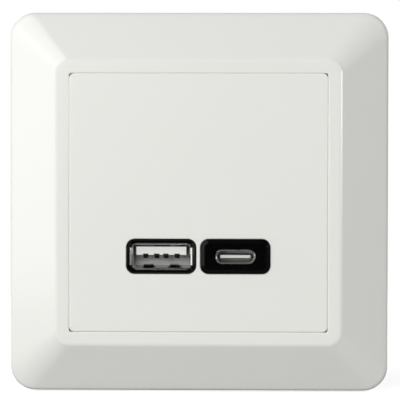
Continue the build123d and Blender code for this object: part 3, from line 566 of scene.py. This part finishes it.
class RepeatTree:
    """A geometry tree that repeats a piece in columns, rows and turns about the wall's normal."""

    def __init__(self) -> None:
        """Build the tree with its named inputs."""
        self.tree = bpy.data.node_groups.new("repeat_piece", "GeometryNodeTree")
        self.tree.is_modifier = True
        self.sockets: dict[str, str] = {}
        sides = self.tree.interface
        for name, kind in (("Geometry", "Geometry"), ("Columns", "Int"), ("Rows", "Int"), ("Turns", "Int"),
                           ("Column Step", "Vector"), ("Row Step", "Vector"), ("Material", "Material")):
            socket = sides.new_socket(name=name, in_out="INPUT", socket_type="NodeSocket" + kind)
            self.sockets[name] = socket.identifier
        sides.new_socket(name="Geometry", in_out="OUTPUT", socket_type="NodeSocketGeometry")
        graph = Graph(self.tree)
        takes = graph.node("NodeGroupInput").outputs
        shape = takes["Geometry"]
        for count, step in (("Columns", "Column Step"), ("Rows", "Row Step")):
            line = graph.node("GeometryNodeMeshLine", {"Count": takes[count], "Offset": takes[step]})
            shape = self.copies(graph, {"Points": line.outputs[0], "Instance": shape})
        spokes = graph.node("GeometryNodeMeshLine", {"Count": takes["Turns"], "Offset": (0.0, 0.0, 0.0)})
        share = graph.math("DIVIDE", graph.node("GeometryNodeInputIndex").outputs[0], takes["Turns"])
        turn = graph.node("FunctionNodeAxisAngleToRotation", {
            "Axis": (0.0, 1.0, 0.0), "Angle": graph.math("MULTIPLY", share, tau)})
        shape = self.copies(graph, {
            "Points": spokes.outputs[0], "Instance": shape, "Rotation": turn.outputs[0]})
        painted = graph.node("GeometryNodeSetMaterial", {"Geometry": shape, "Material": takes["Material"]})
        graph.node("NodeGroupOutput", {"Geometry": painted.outputs[0]})

    @staticmethod
    def copies(graph: Graph, inputs: dict[str, NodeSocket]) -> NodeSocket:
        """Put copies of a shape on points and make them real."""
        placed = graph.node("GeometryNodeInstanceOnPoints", inputs)
        return graph.node("GeometryNodeRealizeInstances", {0: placed.outputs[0]}).outputs[0]

    def piece(self, name: str, first: Mesh, look: Look, nodes: Sequence[str] = (), body: Body = Body.SOCKET,
              columns: Line = SINGLE, rows: Line = SINGLE, turns: int = 1) -> Object:
        """Repeat a mesh, make the result a plain mesh and settle it.

        Args:
            name: The piece's name.
            first: The first copy, in its place.
            look: The finish of the copies.
            nodes: The nodes it stands for.
            body: The body it rides on.
            columns: The line of copies.
            rows: The line of such lines.
            turns: How many turns of the whole about the wall's normal.

        Returns:
            The piece.
        """
        made = add_object(name, first)
        repeat = made.modifiers.new("repeat", "NODES")
        repeat.node_group = self.tree
        values = {"Columns": columns[0], "Column Step": [v * MM for v in columns[1]], "Rows": rows[0],
                  "Row Step": [v * MM for v in rows[1]], "Turns": turns, "Material": look.value.material()}
        for key, value in values.items():
            repeat[self.sockets[key]] = value
        bake(made)
        shade(made.data)
        return settle(made, look, nodes, body)


REPEAT = RepeatTree()


@dataclass
class SurroundFrame:
    """The bevelled frame, hollow behind, with a skirt, a ledge and ribs. Sizes in millimetres."""

    reach: float = 42.5
    corner: float = 5.6
    corner_ease: float = 0.22
    wall: float = 2.0
    foot: float = 0.3
    edge_height: float = 3.0
    draft: float = 0.2
    edge_round: float = 1.5
    bevel_shares: tuple[float, ...] = (0.03, 0.2, 0.4, 0.6, 0.8, 0.97, 1.0)
    face: float = 10.5
    ridge_reach: float = 31.5
    ridge_corner: float = 3.2
    ridge_round: float = 1.7
    round_steps: int = 10
    opening: float = 28.62
    opening_corner: float = 0.5
    ledge: float = 26.87
    ledge_height: float = 8.3
    ledge_thick: float = 1.2
    skirt: float = 30.02
    back: float = 3.2
    roof_corner: float = 1.0
    inner_corner: float = 0.06
    inner_ease: float = 0.1
    groove_ease: float = 0.05
    knee_ease: float = 0.2
    foot_ease: float = 0.15
    rib_wall: float = 1.2
    rib_offset: float = 15.0
    steps: tuple[int, int] = (18, 8)

    def slope(self) -> Pair:
        """Give the bevel's run and rise."""
        return self.reach - self.ridge_reach - self.draft, self.face - self.edge_height

    def hollow(self) -> tuple[float, float, float]:
        """Give the hollow under the bevel, one wall thick from it.

        Returns:
            Its knee's height, its reach at the roof, and its lower corner radius.
        """
        run, rise = self.slope()
        shift = self.wall * hypot(run, rise) / rise
        knee = self.edge_height - (shift + self.draft - self.wall) * rise / run
        drop = (self.face - self.wall - knee) * run / rise
        return knee, self.reach - self.wall - drop, drop + self.roof_corner

    def outside(self) -> list[Ring]:
        """Give the outer skin, from the wall over the rounded edge and up the bevel to the rim.

        Returns:
            Its rings in order.
        """
        run, rise = self.slope()
        lean = atan2(self.draft, self.edge_height)
        turn = atan2(run, rise) - lean
        back = self.edge_round * tan(turn / 2)
        height = self.edge_height - back * cos(lean) - self.edge_round * sin(lean)
        reach = self.reach - self.draft + back * sin(lean) - self.edge_round * cos(lean)
        foot_reach = self.reach - self.draft * self.foot / self.edge_height
        rings = [(0.0, self.reach, self.corner), (self.foot, foot_reach, self.corner)]
        for step in range(self.round_steps + 1):
            angle = lean + turn * step / self.round_steps
            out = reach + self.edge_round * cos(angle)
            rings.append((height + self.edge_round * sin(angle), out,
                          self.corner - self.corner_ease * (self.reach - out)))
        edge, ridge = rings[-1], (self.face, self.ridge_reach, self.ridge_corner)
        slant = atan2(rise, run)
        setback = self.ridge_round * tan(slant / 2)
        top = 1 - setback / hypot(self.face - edge[0], edge[1] - self.ridge_reach)
        for share in self.bevel_shares:
            rings.append(tuple(a + (b - a) * share * top for a, b in zip(edge, ridge)))
        for step in range(1, self.round_steps + 1):
            share = step / self.round_steps
            angle = slant * (1 - share)
            rings.append((self.face - self.ridge_round * (1 - cos(angle)),
                          self.ridge_reach - setback + self.ridge_round * sin(angle),
                          self.ridge_corner - setback * share))
        return rings

    def inside(self) -> list[Ring]:
        """Give the opening, the ledge, the skirt and the hollow, from the rim back to the wall.

        Returns:
            Its rings in order.
        """
        knee, roof, low_corner = self.hollow()
        run, rise = self.slope()
        ceiling, ledge_back = self.face - self.wall, self.ledge_height - self.ledge_thick
        hollow, small, ease = self.reach - self.wall, self.inner_corner, self.inner_ease
        mouth, corner = self.opening, self.opening_corner
        rim = broken_edge(self.face, mouth, corner, 1)
        return [
            (self.face, rim[0][1] + ease, rim[0][2]),
            *rim,
            (self.ledge_height + self.groove_ease, mouth, corner),
            (self.ledge_height, mouth - self.groove_ease, corner),
            (self.ledge_height, self.ledge + ease, small * 2),
            (self.ledge_height - ease, self.ledge, small),
            (ledge_back, self.ledge, small),
            (ledge_back, mouth, small),
            (self.back + ease, mouth, small),
            (self.back, mouth + ease, small),
            (self.back, self.skirt - ease, small),
            (self.back + ease, self.skirt, small),
            (ceiling, self.skirt, small),
            (ceiling, roof, self.roof_corner),
            (knee + self.knee_ease, hollow - self.knee_ease * run / rise, low_corner),
            (knee, hollow, low_corner),
            (self.foot_ease, hollow, low_corner),
            (0.0, hollow + self.foot_ease, low_corner - ease),
        ]

    def build(self) -> list[Object]:
        """Build the shell and its ribs and dress them in white.

        Returns:
            The finished pieces.
        """
        shell = lofted("surround_shell", self.outside() + self.inside(), self.steps, Ends.JOINED)
        smooth(shell)
        knee, roof, _ = self.hollow()
        run, rise = self.slope()
        ceiling, foot = self.face - self.wall, self.reach - self.wall - (self.back - knee) * run / rise
        outline = [(self.skirt, self.back), (foot, self.back), (roof, ceiling), (self.skirt, ceiling)]
        first = prism("frame_rib", outline, -self.rib_offset, self.rib_wall / 2, lambda u, v, w: (w, -v, u))
        pair = (2, (2 * self.rib_offset, 0, 0))
        ribs = REPEAT.piece("frame_ribs", first, Look.WHITE, columns=pair, turns=4)
        return [settle(shell, Look.WHITE, ["surround_frame"]), ribs]


@dataclass
class Cover:
    """The flush square cover, with its windows, rib and snap arms. Sizes in millimetres."""

    reach: float = 28.6
    corner: float = 1.15
    rise: float = 0.01
    face: float = 10.5
    back: float = 8.3
    back_ease: float = 0.1
    break_margin: float = 0.2
    steps: tuple[int, int] = (8, 12)
    window: Pair = (7.775, 3.9)
    window_corner: float = 1.9
    window_break: float = 0.14
    window_arc: int = 10
    windows: tuple[Pair, ...] = ((-8.2, -11.85), (8.2, -11.85))
    overcut: float = 1.0
    rib_reach: float = 26.67
    rib_wall: float = 1.2
    rib_depth: float = 2.0
    rib_corner: float = 0.1
    rib_steps: tuple[int, int] = (2, 4)
    arm_inner: float = 23.2
    arm_wall: float = 1.4
    arm_tip: float = 2.7
    arm_catch: float = 4.3
    arm_barb: float = 0.9
    arm_nose: float = 0.5
    arm_half: float = 3.0
    arm_offset: float = 10.0

    def slab(self) -> Object:
        """Build the square slab with softly broken edges, and cut the two port windows.

        Returns:
            The slab.
        """
        rings = [(self.back, self.reach - self.back_ease, self.corner),
                 (self.back + self.back_ease, self.reach, self.corner)]
        rings += broken_edge(self.face, self.reach, self.corner, -1)[::-1]
        rings.append((self.face, rings[-1][1] - self.break_margin, rings[-1][2]))
        made = lofted("cover_slab", rings, self.steps, Ends.FILLED)
        made.data.transform(Matrix.Translation((0, 0, self.rise * MM)))
        steps = ((self.back - self.overcut, 0.0), (self.face - self.window_break, 0.0),
                 (self.face, self.window_break), (self.face + self.overcut, self.window_break))
        for centre in self.windows:
            rings = [rounded_ring((self.window[0] + grow, self.window[1] + grow), self.window_corner + grow,
                                  height, self.window_arc, centre=centre) for height, grow in steps]
            cut_away(made, skin("window_cutter", rings, Ends.FILLED))
        return made

    def build(self) -> list[Object]:
        """Build the slab, its rib and its arms, and dress them in white.

        Returns:
            The finished pieces.
        """
        slab = self.slab()
        smooth(slab)
        low, inner = self.back - self.rib_depth, self.rib_reach - self.rib_wall
        tube = [(self.back, self.rib_reach), (low, self.rib_reach), (low, inner), (self.back, inner)]
        rib = lofted("cover_rib", [(height, reach, self.rib_corner) for height, reach in tube],
                     self.rib_steps, Ends.JOINED)
        shade(rib.data)
        root, out, barb = self.arm_inner, self.arm_inner + self.arm_wall, self.arm_inner - self.arm_barb
        tip, catch, nose = self.arm_tip, self.arm_catch, self.arm_nose
        outline = [(root, self.back), (out, self.back), (out, tip), (root + nose, tip), (barb, catch - nose),
                   (barb, catch), (root, catch)]
        first = prism("cover_arm", outline, -self.arm_offset, self.arm_half, lambda u, v, w: (u, -v, w))
        pair = (2, (0, 0, 2 * self.arm_offset))
        arms = REPEAT.piece("cover_arms", first, Look.WHITE, columns=pair, turns=2)
        return [settle(slab, Look.WHITE, ["centre_plate"]), settle(rib, Look.WHITE), arms]


@dataclass(frozen=True)
class SlottedScrew:
    """A slotted pan-head screw with a real thread. Sizes in millimetres."""

    radius: float = 1.5
    pitch: float = 0.5
    thread: float = 0.27
    run_out: float = 0.4
    tip_ease: float = 0.3
    head_radius: float = 2.5
    head_height: float = 2.0
    head_ease: float = 0.15
    dome_run: float = 0.72
    dome_sink: float = 0.08
    crown_radius: float = 0.9
    crown_sink: float = 0.02
    slot_width: float = 0.8
    slot_depth: float = 1.0
    slot_reach: float = 3.75
    overcut: float = 1.0
    around: int = 36
    turn_steps: int = 8
    dome_steps: int = 6

    def shank_radius(self, along: float, length: float, step: int) -> float:
        """Give the shank's radius at a place on its thread.

        Args:
            along: The distance from the tip.
            length: The shank's length.
            step: The step round the shank.

        Returns:
            The radius, with a tapered tip and a thread that runs out under the head.
        """
        wave = (along / self.pitch - step / self.around) % 1.0
        fade = min(1.0, max(0.0, (length - along) / self.run_out))
        return min(self.radius - self.thread * abs(2 * wave - 1) * fade, self.radius - self.tip_ease + along)

    def head(self) -> list[Pair]:
        """Give the head's outline from the shank to the middle of its crown.

        Returns:
            Points as radius and distance from the seat.
        """
        half = self.head_height / 2
        points = [(self.head_radius - self.head_ease, 0.0), (self.head_radius, self.head_ease),
                  (self.head_radius, half)]
        for step in range(1, self.dome_steps + 1):
            angle = QUARTER * step / self.dome_steps
            points.append((self.head_radius - self.dome_run * (1 - cos(angle)),
                           half + (half - self.dome_sink) * sin(angle)))
        return points + [(self.crown_radius, self.head_height - self.crown_sink), (0.0, self.head_height)]

    def mesh(self, name: str, tip: Point, crown: float) -> Mesh:
        """Build the screw along the wall's normal.

        Args:
            name: The mesh's name.
            tip: The middle of the shank's end, in millimetres.
            crown: The depth of the head's top.

        Returns:
            The closed mesh.
        """
        way = 1 if crown > tip[1] else -1
        length = abs(crown - tip[1]) - self.head_height
        steps = max(self.turn_steps, int(length / self.pitch * self.turn_steps))
        outline = [[(0.0, 0.0)] * self.around]
        for along in (length * step / steps for step in range(steps + 1)):
            outline.append([(self.shank_radius(along, length, i), along) for i in range(self.around)])
        outline += [[(out, length + up)] * self.around for out, up in self.head()]
        angles = [tau * i / self.around for i in range(self.around)]
        rings = [[Vector((tip[0] + out * cos(a), tip[1] + way * along, tip[2] + out * sin(a))) * MM
                  for a, (out, along) in zip(angles, ring)] for ring in outline]
        screw = add_object("slotted", skin(name, rings, Ends.POINTED))
        half, wide = self.slot_width / 2, self.slot_reach
        middle = crown + way * (self.overcut - self.slot_depth) / 2
        deep = (self.overcut + self.slot_depth) / 2
        cut_away(screw, prism("slot_cutter", [(-wide, -half), (wide, -half), (wide, half), (-wide, half)],
                              middle, deep, lambda u, v, w: (tip[0] + u, w, tip[2] + v)))
        made = screw.data
        bpy.data.objects.remove(screw)
        return made


@dataclass
class Housing:
    """The two black shells, the support plate and the screws between them. Sizes in millimetres."""

    easing: float = 0.12
    front_easing: float = 0.08
    front_angle: float = 20.0
    screw: SlottedScrew = SlottedScrew()

    def build(self) -> list[Object]:
        """Build the shells, the plate and its two screws on a diagonal.

        Returns:
            The finished pieces.
        """
        made = [eased("front_housing", Look.BLACK, self.front_easing, angle=self.front_angle),
                eased("rear_housing", Look.GRAINED_BLACK, self.easing),
                eased("support_plate", Look.ZINC, self.easing)]
        low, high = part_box("plate_screws")
        reach = high.x / MM - self.screw.head_radius
        first = self.screw.mesh("plate_screw", (-reach, high.y / MM, reach), low.y / MM)
        return made + [REPEAT.piece("plate_screws_pair", first, Look.SCREW, ["plate_screws"],
                                    columns=(2, (2 * reach, 0, -2 * reach)))]


@dataclass(frozen=True)
class Lips:
    """The flared lips and spring fingers of a folded shell. Sizes in millimetres.

    A side lip reaches up and down from the middle. The flare is how strongly the side lips, and the upper and
    lower ones, are bent. The lower fingers stand further in than in the solid by their lift.
    """

    depth: float = 0.8
    side_reach: float = 2.0
    flare: Pair = (0.55, 0.16)
    steps: int = 8
    finger_tip: float = 2.4
    finger_lift: float = 0.45

    def bent(self, node: str) -> BMesh:
        """Copy a shell from the solids, with its lips bent in a curve and its lower fingers lifted.

        Args:
            node: The shell's node.

        Returns:
            The working shape.
        """
        low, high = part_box(node)
        middle, depth = (low + high) / 2, self.depth * MM
        root, tip = low.y + depth, low.y + self.finger_tip * MM
        work = merged(node)
        for step in range(1, self.steps):
            bmesh.ops.bisect_plane(work, geom=[*work.verts, *work.edges, *work.faces], dist=SKIN_WELD * MM,
                                   plane_co=(0, root - depth * step / self.steps, 0), plane_no=(0, 1, 0))
        for vert in work.verts:
            if abs(vert.co.y - tip) < TOUCH * MM and vert.co.z < middle.z:
                vert.co.z += self.finger_lift * MM
            share = (root - vert.co.y) / depth
            if share * self.depth > SKIN_WELD:
                axis, kind = (0, 0) if abs(vert.co.z - middle.z) < self.side_reach * MM else (2, 1)
                bend = self.flare[kind] * (share * share - share) * MM
                vert.co[axis] += copysign(1.0, vert.co[axis] - middle[axis]) * bend
        return work


@dataclass
class Port:
    """One USB port: its steel shell, its insulator and its contacts. Sizes in millimetres.

    Its nodes' names start with its name. The first contact lies within a share of the steps to the next ones,
    and the contacts' crests stand further out than in the solids by their bow.
    """

    name: str
    columns: Line
    rows: Line
    easing: float = 0.05
    easing_steps: int = 3
    tongue: Look = Look.TONGUE
    tongue_easing: float = 0.06
    lips: Lips | None = None
    contact_bow: float = 0.0
    step_share: float = 0.75

    def first_contact(self) -> Mesh:
        """Copy the contact nearest the lower left corner from the solids, with its crest bowed out.

        Returns:
            Its mesh.
        """
        node = f"{self.name}_contacts"
        low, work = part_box(node)[0], merged(node)
        across, up = (self.step_share * step * MM for step in (self.columns[1][0], self.rows[1][2]))
        others = [v for v in work.verts if v.co.x - low.x > across or (up and v.co.z - low.z > up)]
        bmesh.ops.delete(work, geom=others, context="VERTS")
        for vert in work.verts:
            if vert.co.z - low.z < TOUCH * MM:
                vert.co.z -= self.contact_bow * MM
        return stored(work, f"{self.name}_contact")

    def build(self) -> list[Object]:
        """Build the shell, the insulator and the row of contacts.

        Returns:
            The finished pieces.
        """
        shell = f"{self.name}_shell"
        return [
            eased(shell, Look.PORT, self.easing, steps=self.easing_steps,
                  work=self.lips.bent(shell) if self.lips else None),
            eased(f"{self.name}_insulator", self.tongue, self.tongue_easing),
            REPEAT.piece(f"{self.name}_contact_row", self.first_contact(), Look.GOLD,
                         [f"{self.name}_contacts"], columns=self.columns, rows=self.rows),
        ]


@dataclass
class Terminals:
    """The mains terminals: the block, and each pole's bar, clamp and screw. Sizes in millimetres."""

    block_easing: float = 0.12
    bar_easing: float = 0.06
    clamp_easing: float = 0.08
    screw: SlottedScrew = SlottedScrew()

    def build(self) -> list[Object]:
        """Build the block and both poles.

        Returns:
            The finished pieces.
        """
        made = [eased("terminal_block", Look.TERMINAL, self.block_easing)]
        for pole in ("line", "neutral"):
            made.append(eased(f"{pole}_bar", Look.BRASS, self.bar_easing))
            made.append(eased(f"{pole}_clamp", Look.CLAMP, self.clamp_easing, Body(f"{pole}_clamp")))
            low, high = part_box(f"{pole}_screw")
            middle, name = (low + high) / 2 / MM, f"{pole}_screw_turned"
            mesh = self.screw.mesh(name, (middle.x, low.y / MM, middle.z), high.y / MM)
            made.append(REPEAT.piece(name, mesh, Look.SCREW, [f"{pole}_screw"], Body(f"{pole}_screw")))
        return made


@dataclass
class Electronics:
    """The boards and their parts, which are closed in and keep their solids."""

    parts: tuple[tuple[Look, str], ...] = (
        (Look.BOARD, "port_board main_board"),
        (Look.CHIP, "board_header charge_controller controller_chip bridge_rectifier opto_isolator"),
        (Look.BOX, "safety_capacitor"),
        (Look.FUSE, "fuse"),
        (Look.CAN, "input_capacitors output_capacitor"),
        (Look.FERRITE, "filter_inductor transformer_core"),
        (Look.BOBBIN, "transformer_bobbin"),
        (Look.TAPE, "transformer_winding"),
    )

    def build(self) -> list[Object]:
        """Dress every part.

        Returns:
            The parts' own objects.
        """
        made = []
        for look, names in self.parts:
            for node in names.split():
                made.append(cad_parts[node])
                made[-1].data.materials.clear()
                made[-1].data.materials.append(look.value.material())
        return made


def direction(azimuth: float, elevation: float) -> Vector:
    """Give the way to a place so many degrees to the right of straight in front and above level."""
    a, e = radians(azimuth), radians(elevation)
    return Vector((sin(a) * cos(e), -cos(a) * cos(e), sin(e)))


@dataclass
class Lamp:
    """A soft lamp aimed at the socket, and whether gloss shows it. Degrees, metres and watts."""

    name: str
    azimuth: float
    elevation: float
    distance: float
    size: Pair
    power: float
    glossy: bool = True

    def build(self) -> None:
        """Hang the lamp."""
        light = bpy.data.lights.new(self.name, "AREA")
        light.shape, light.energy = "RECTANGLE", self.power
        light.size, light.size_y = self.size
        made = add_object(self.name, light)
        way = direction(self.azimuth, self.elevation)
        made.location = way * self.distance
        made.rotation_euler = way.to_track_quat("Z", "Y").to_euler()
        made.visible_camera = False
        made.visible_glossy = self.glossy


@dataclass
class Studio:
    """The floor, the lamps, the white surroundings and the camera. Lengths in metres, angles in degrees.

    A band is the part of a direction, from minus one to one, or of a length, over which a value fades in.
    """

    ambient: float = 0.16
    ambient_behind: float = 0.4
    ambient_band: Pair = (-0.1, 0.5)
    mirrored_front: float = 0.02
    mirrored_right: float = 0.35
    behind_band: Pair = (-0.75, 0.1)
    right_band: Pair = (-0.6, 0.2)
    beside_band: Pair = (0.8, 0.3)
    floor_level: float = -0.0427
    floor_radius: float = 0.32
    floor_sides: int = 96
    floor_tone: float = 0.45
    floor_white: float = 0.4
    floor_glow: float = 0.7
    floor_band: Pair = (0.0, 0.03)
    lamps: tuple[Lamp, ...] = (
        Lamp("left", -75.0, 13.0, 0.55, (0.4, 0.4), 0.93),
        Lamp("high", -50.0, 45.0, 0.6, (0.4, 0.4), 0.8),
        Lamp("front", -15.0, 10.0, 0.9, (0.35, 0.35), 4.4, glossy=False),
        Lamp("right", 47.0, 5.8, 0.45, (0.16, 0.08), 0.36),
        Lamp("behind", 182.0, 5.0, 0.9, (0.5, 0.5), 6.5, glossy=False),
    )
    lens_mm: float = 208.404
    sensor_mm: float = 36.0
    clip: Pair = (0.01, 20.0)
    distance: float = 0.5161
    azimuth: float = 1.086
    elevation: float = 1.544
    roll: float = 0.093
    target: Point = (0.28 * MM, -6.0 * MM, 0.4245 * MM)

    def world(self) -> None:
        """Make surroundings that look white, light the socket evenly and are dark in its gloss in front."""
        made = bpy.data.worlds.new("studio")
        bpy.context.scene.world, made.use_nodes = made, True
        graph = Graph(made.node_tree)
        path = graph.node("ShaderNodeLightPath").outputs
        around = graph.node("ShaderNodeTexCoord").outputs["Generated"]
        way = graph.node("ShaderNodeSeparateXYZ", {0: around}).outputs
        right, beside = graph.remap(way["X"], self.right_band), graph.remap(way["Y"], self.beside_band)
        side = graph.math("MULTIPLY", right, beside)
        dimmed = graph.math("MULTIPLY_ADD", side, self.mirrored_right - 1.0, 1.0)
        behind = graph.math("MULTIPLY", graph.remap(way["Y"], self.behind_band), dimmed)
        gloss = graph.math("MULTIPLY_ADD", behind, 1.0 - self.mirrored_front, self.mirrored_front)
        fall = graph.remap(way["Y"], self.ambient_band)
        soft = graph.math("MULTIPLY_ADD", fall, (self.ambient_behind - 1.0) * self.ambient, self.ambient)
        level = graph.math("MULTIPLY_ADD", path["Is Glossy Ray"], graph.math("SUBTRACT", gloss, soft), soft)
        clear = graph.math("MAXIMUM", path["Is Camera Ray"], path["Is Transmission Ray"])
        glow = graph.node("ShaderNodeBackground", {
            "Color": (1.0, 1.0, 1.0, 1.0), "Strength": graph.math("MAXIMUM", level, clear)})
        graph.node("ShaderNodeOutputWorld", {"Surface": glow.outputs[0]})

    def floor(self) -> None:
        """Lay a pale floor that keeps a soft shadow."""
        work = bmesh.new()
        bmesh.ops.create_circle(work, cap_ends=True, segments=self.floor_sides, radius=self.floor_radius,
                                matrix=Matrix.Translation((0, 0, self.floor_level)))
        made = add_object("floor", stored(work, "floor"))
        paint = bpy.data.materials.new("pale_floor")
        paint.use_nodes = True
        graph = Graph(paint.node_tree)
        path = graph.node("ShaderNodeLightPath").outputs
        around = graph.node("ShaderNodeTexCoord").outputs["Object"]
        place = graph.node("ShaderNodeSeparateXYZ", {0: around}).outputs
        mirrored = graph.math("MULTIPLY", path["Is Glossy Ray"], graph.remap(place["Y"], self.floor_band))
        direct = graph.math("MAXIMUM", path["Is Camera Ray"], mirrored)
        tone = graph.math("MULTIPLY_ADD", direct, self.floor_white, self.floor_tone)
        grey = graph.node("ShaderNodeCombineColor", {0: tone, 1: tone, 2: tone})
        matte = graph.node("ShaderNodeBsdfDiffuse", {"Color": grey.outputs[0]})
        glow = graph.node("ShaderNodeEmission", {"Strength": graph.math("MULTIPLY", direct, self.floor_glow)})
        both = graph.node("ShaderNodeAddShader", {0: matte.outputs[0], 1: glow.outputs[0]})
        graph.node("ShaderNodeOutputMaterial", {"Surface": both.outputs[0]})
        made.data.materials.append(paint)

    def camera(self) -> None:
        """Set the camera where the picture was taken from."""
        data = bpy.data.cameras.new("camera")
        data.sensor_fit, data.sensor_width, data.lens = "HORIZONTAL", self.sensor_mm, self.lens_mm
        data.clip_start, data.clip_end = self.clip
        made = add_object("camera", data)
        back, roll = direction(self.azimuth, self.elevation), radians(self.roll)
        right = Vector((0, 0, 1)).cross(back).normalized()
        up = back.cross(right)
        turned = (cos(roll) * right + sin(roll) * up, cos(roll) * up - sin(roll) * right)
        matrix = Matrix((*turned, back)).transposed().to_4x4()
        matrix.translation = Vector(self.target) + back * self.distance
        made.matrix_world = matrix
        bpy.context.scene.camera = made

    def build(self) -> None:
        """Build the studio."""
        bpy.context.scene.view_settings.view_transform = "Standard"
        self.world()
        self.floor()
        for lamp in self.lamps:
            lamp.build()
        self.camera()


def main() -> None:
    """Build the sub-assemblies in order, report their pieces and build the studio."""
    assemblies = (
        SurroundFrame(), Cover(), Housing(),
        Port("usb_a", columns=(2, (2.5, 0, 0)), rows=(2, (4.5, 0, 0)), lips=Lips(), contact_bow=0.45),
        Port("usb_c", columns=(12, (0.5, 0, 0)), rows=(2, (0, 0, 0.8)), easing=0.11,
             tongue=Look.GREY_TONGUE),
        Terminals(), Electronics(),
    )
    for assembly in assemblies:
        for piece in assembly.build():
            log.info("%s: %d faces", piece.name, len(piece.data.polygons))
    Studio().build()
    bpy.context.view_layer.update()


if __name__ == "__main__":
    main()
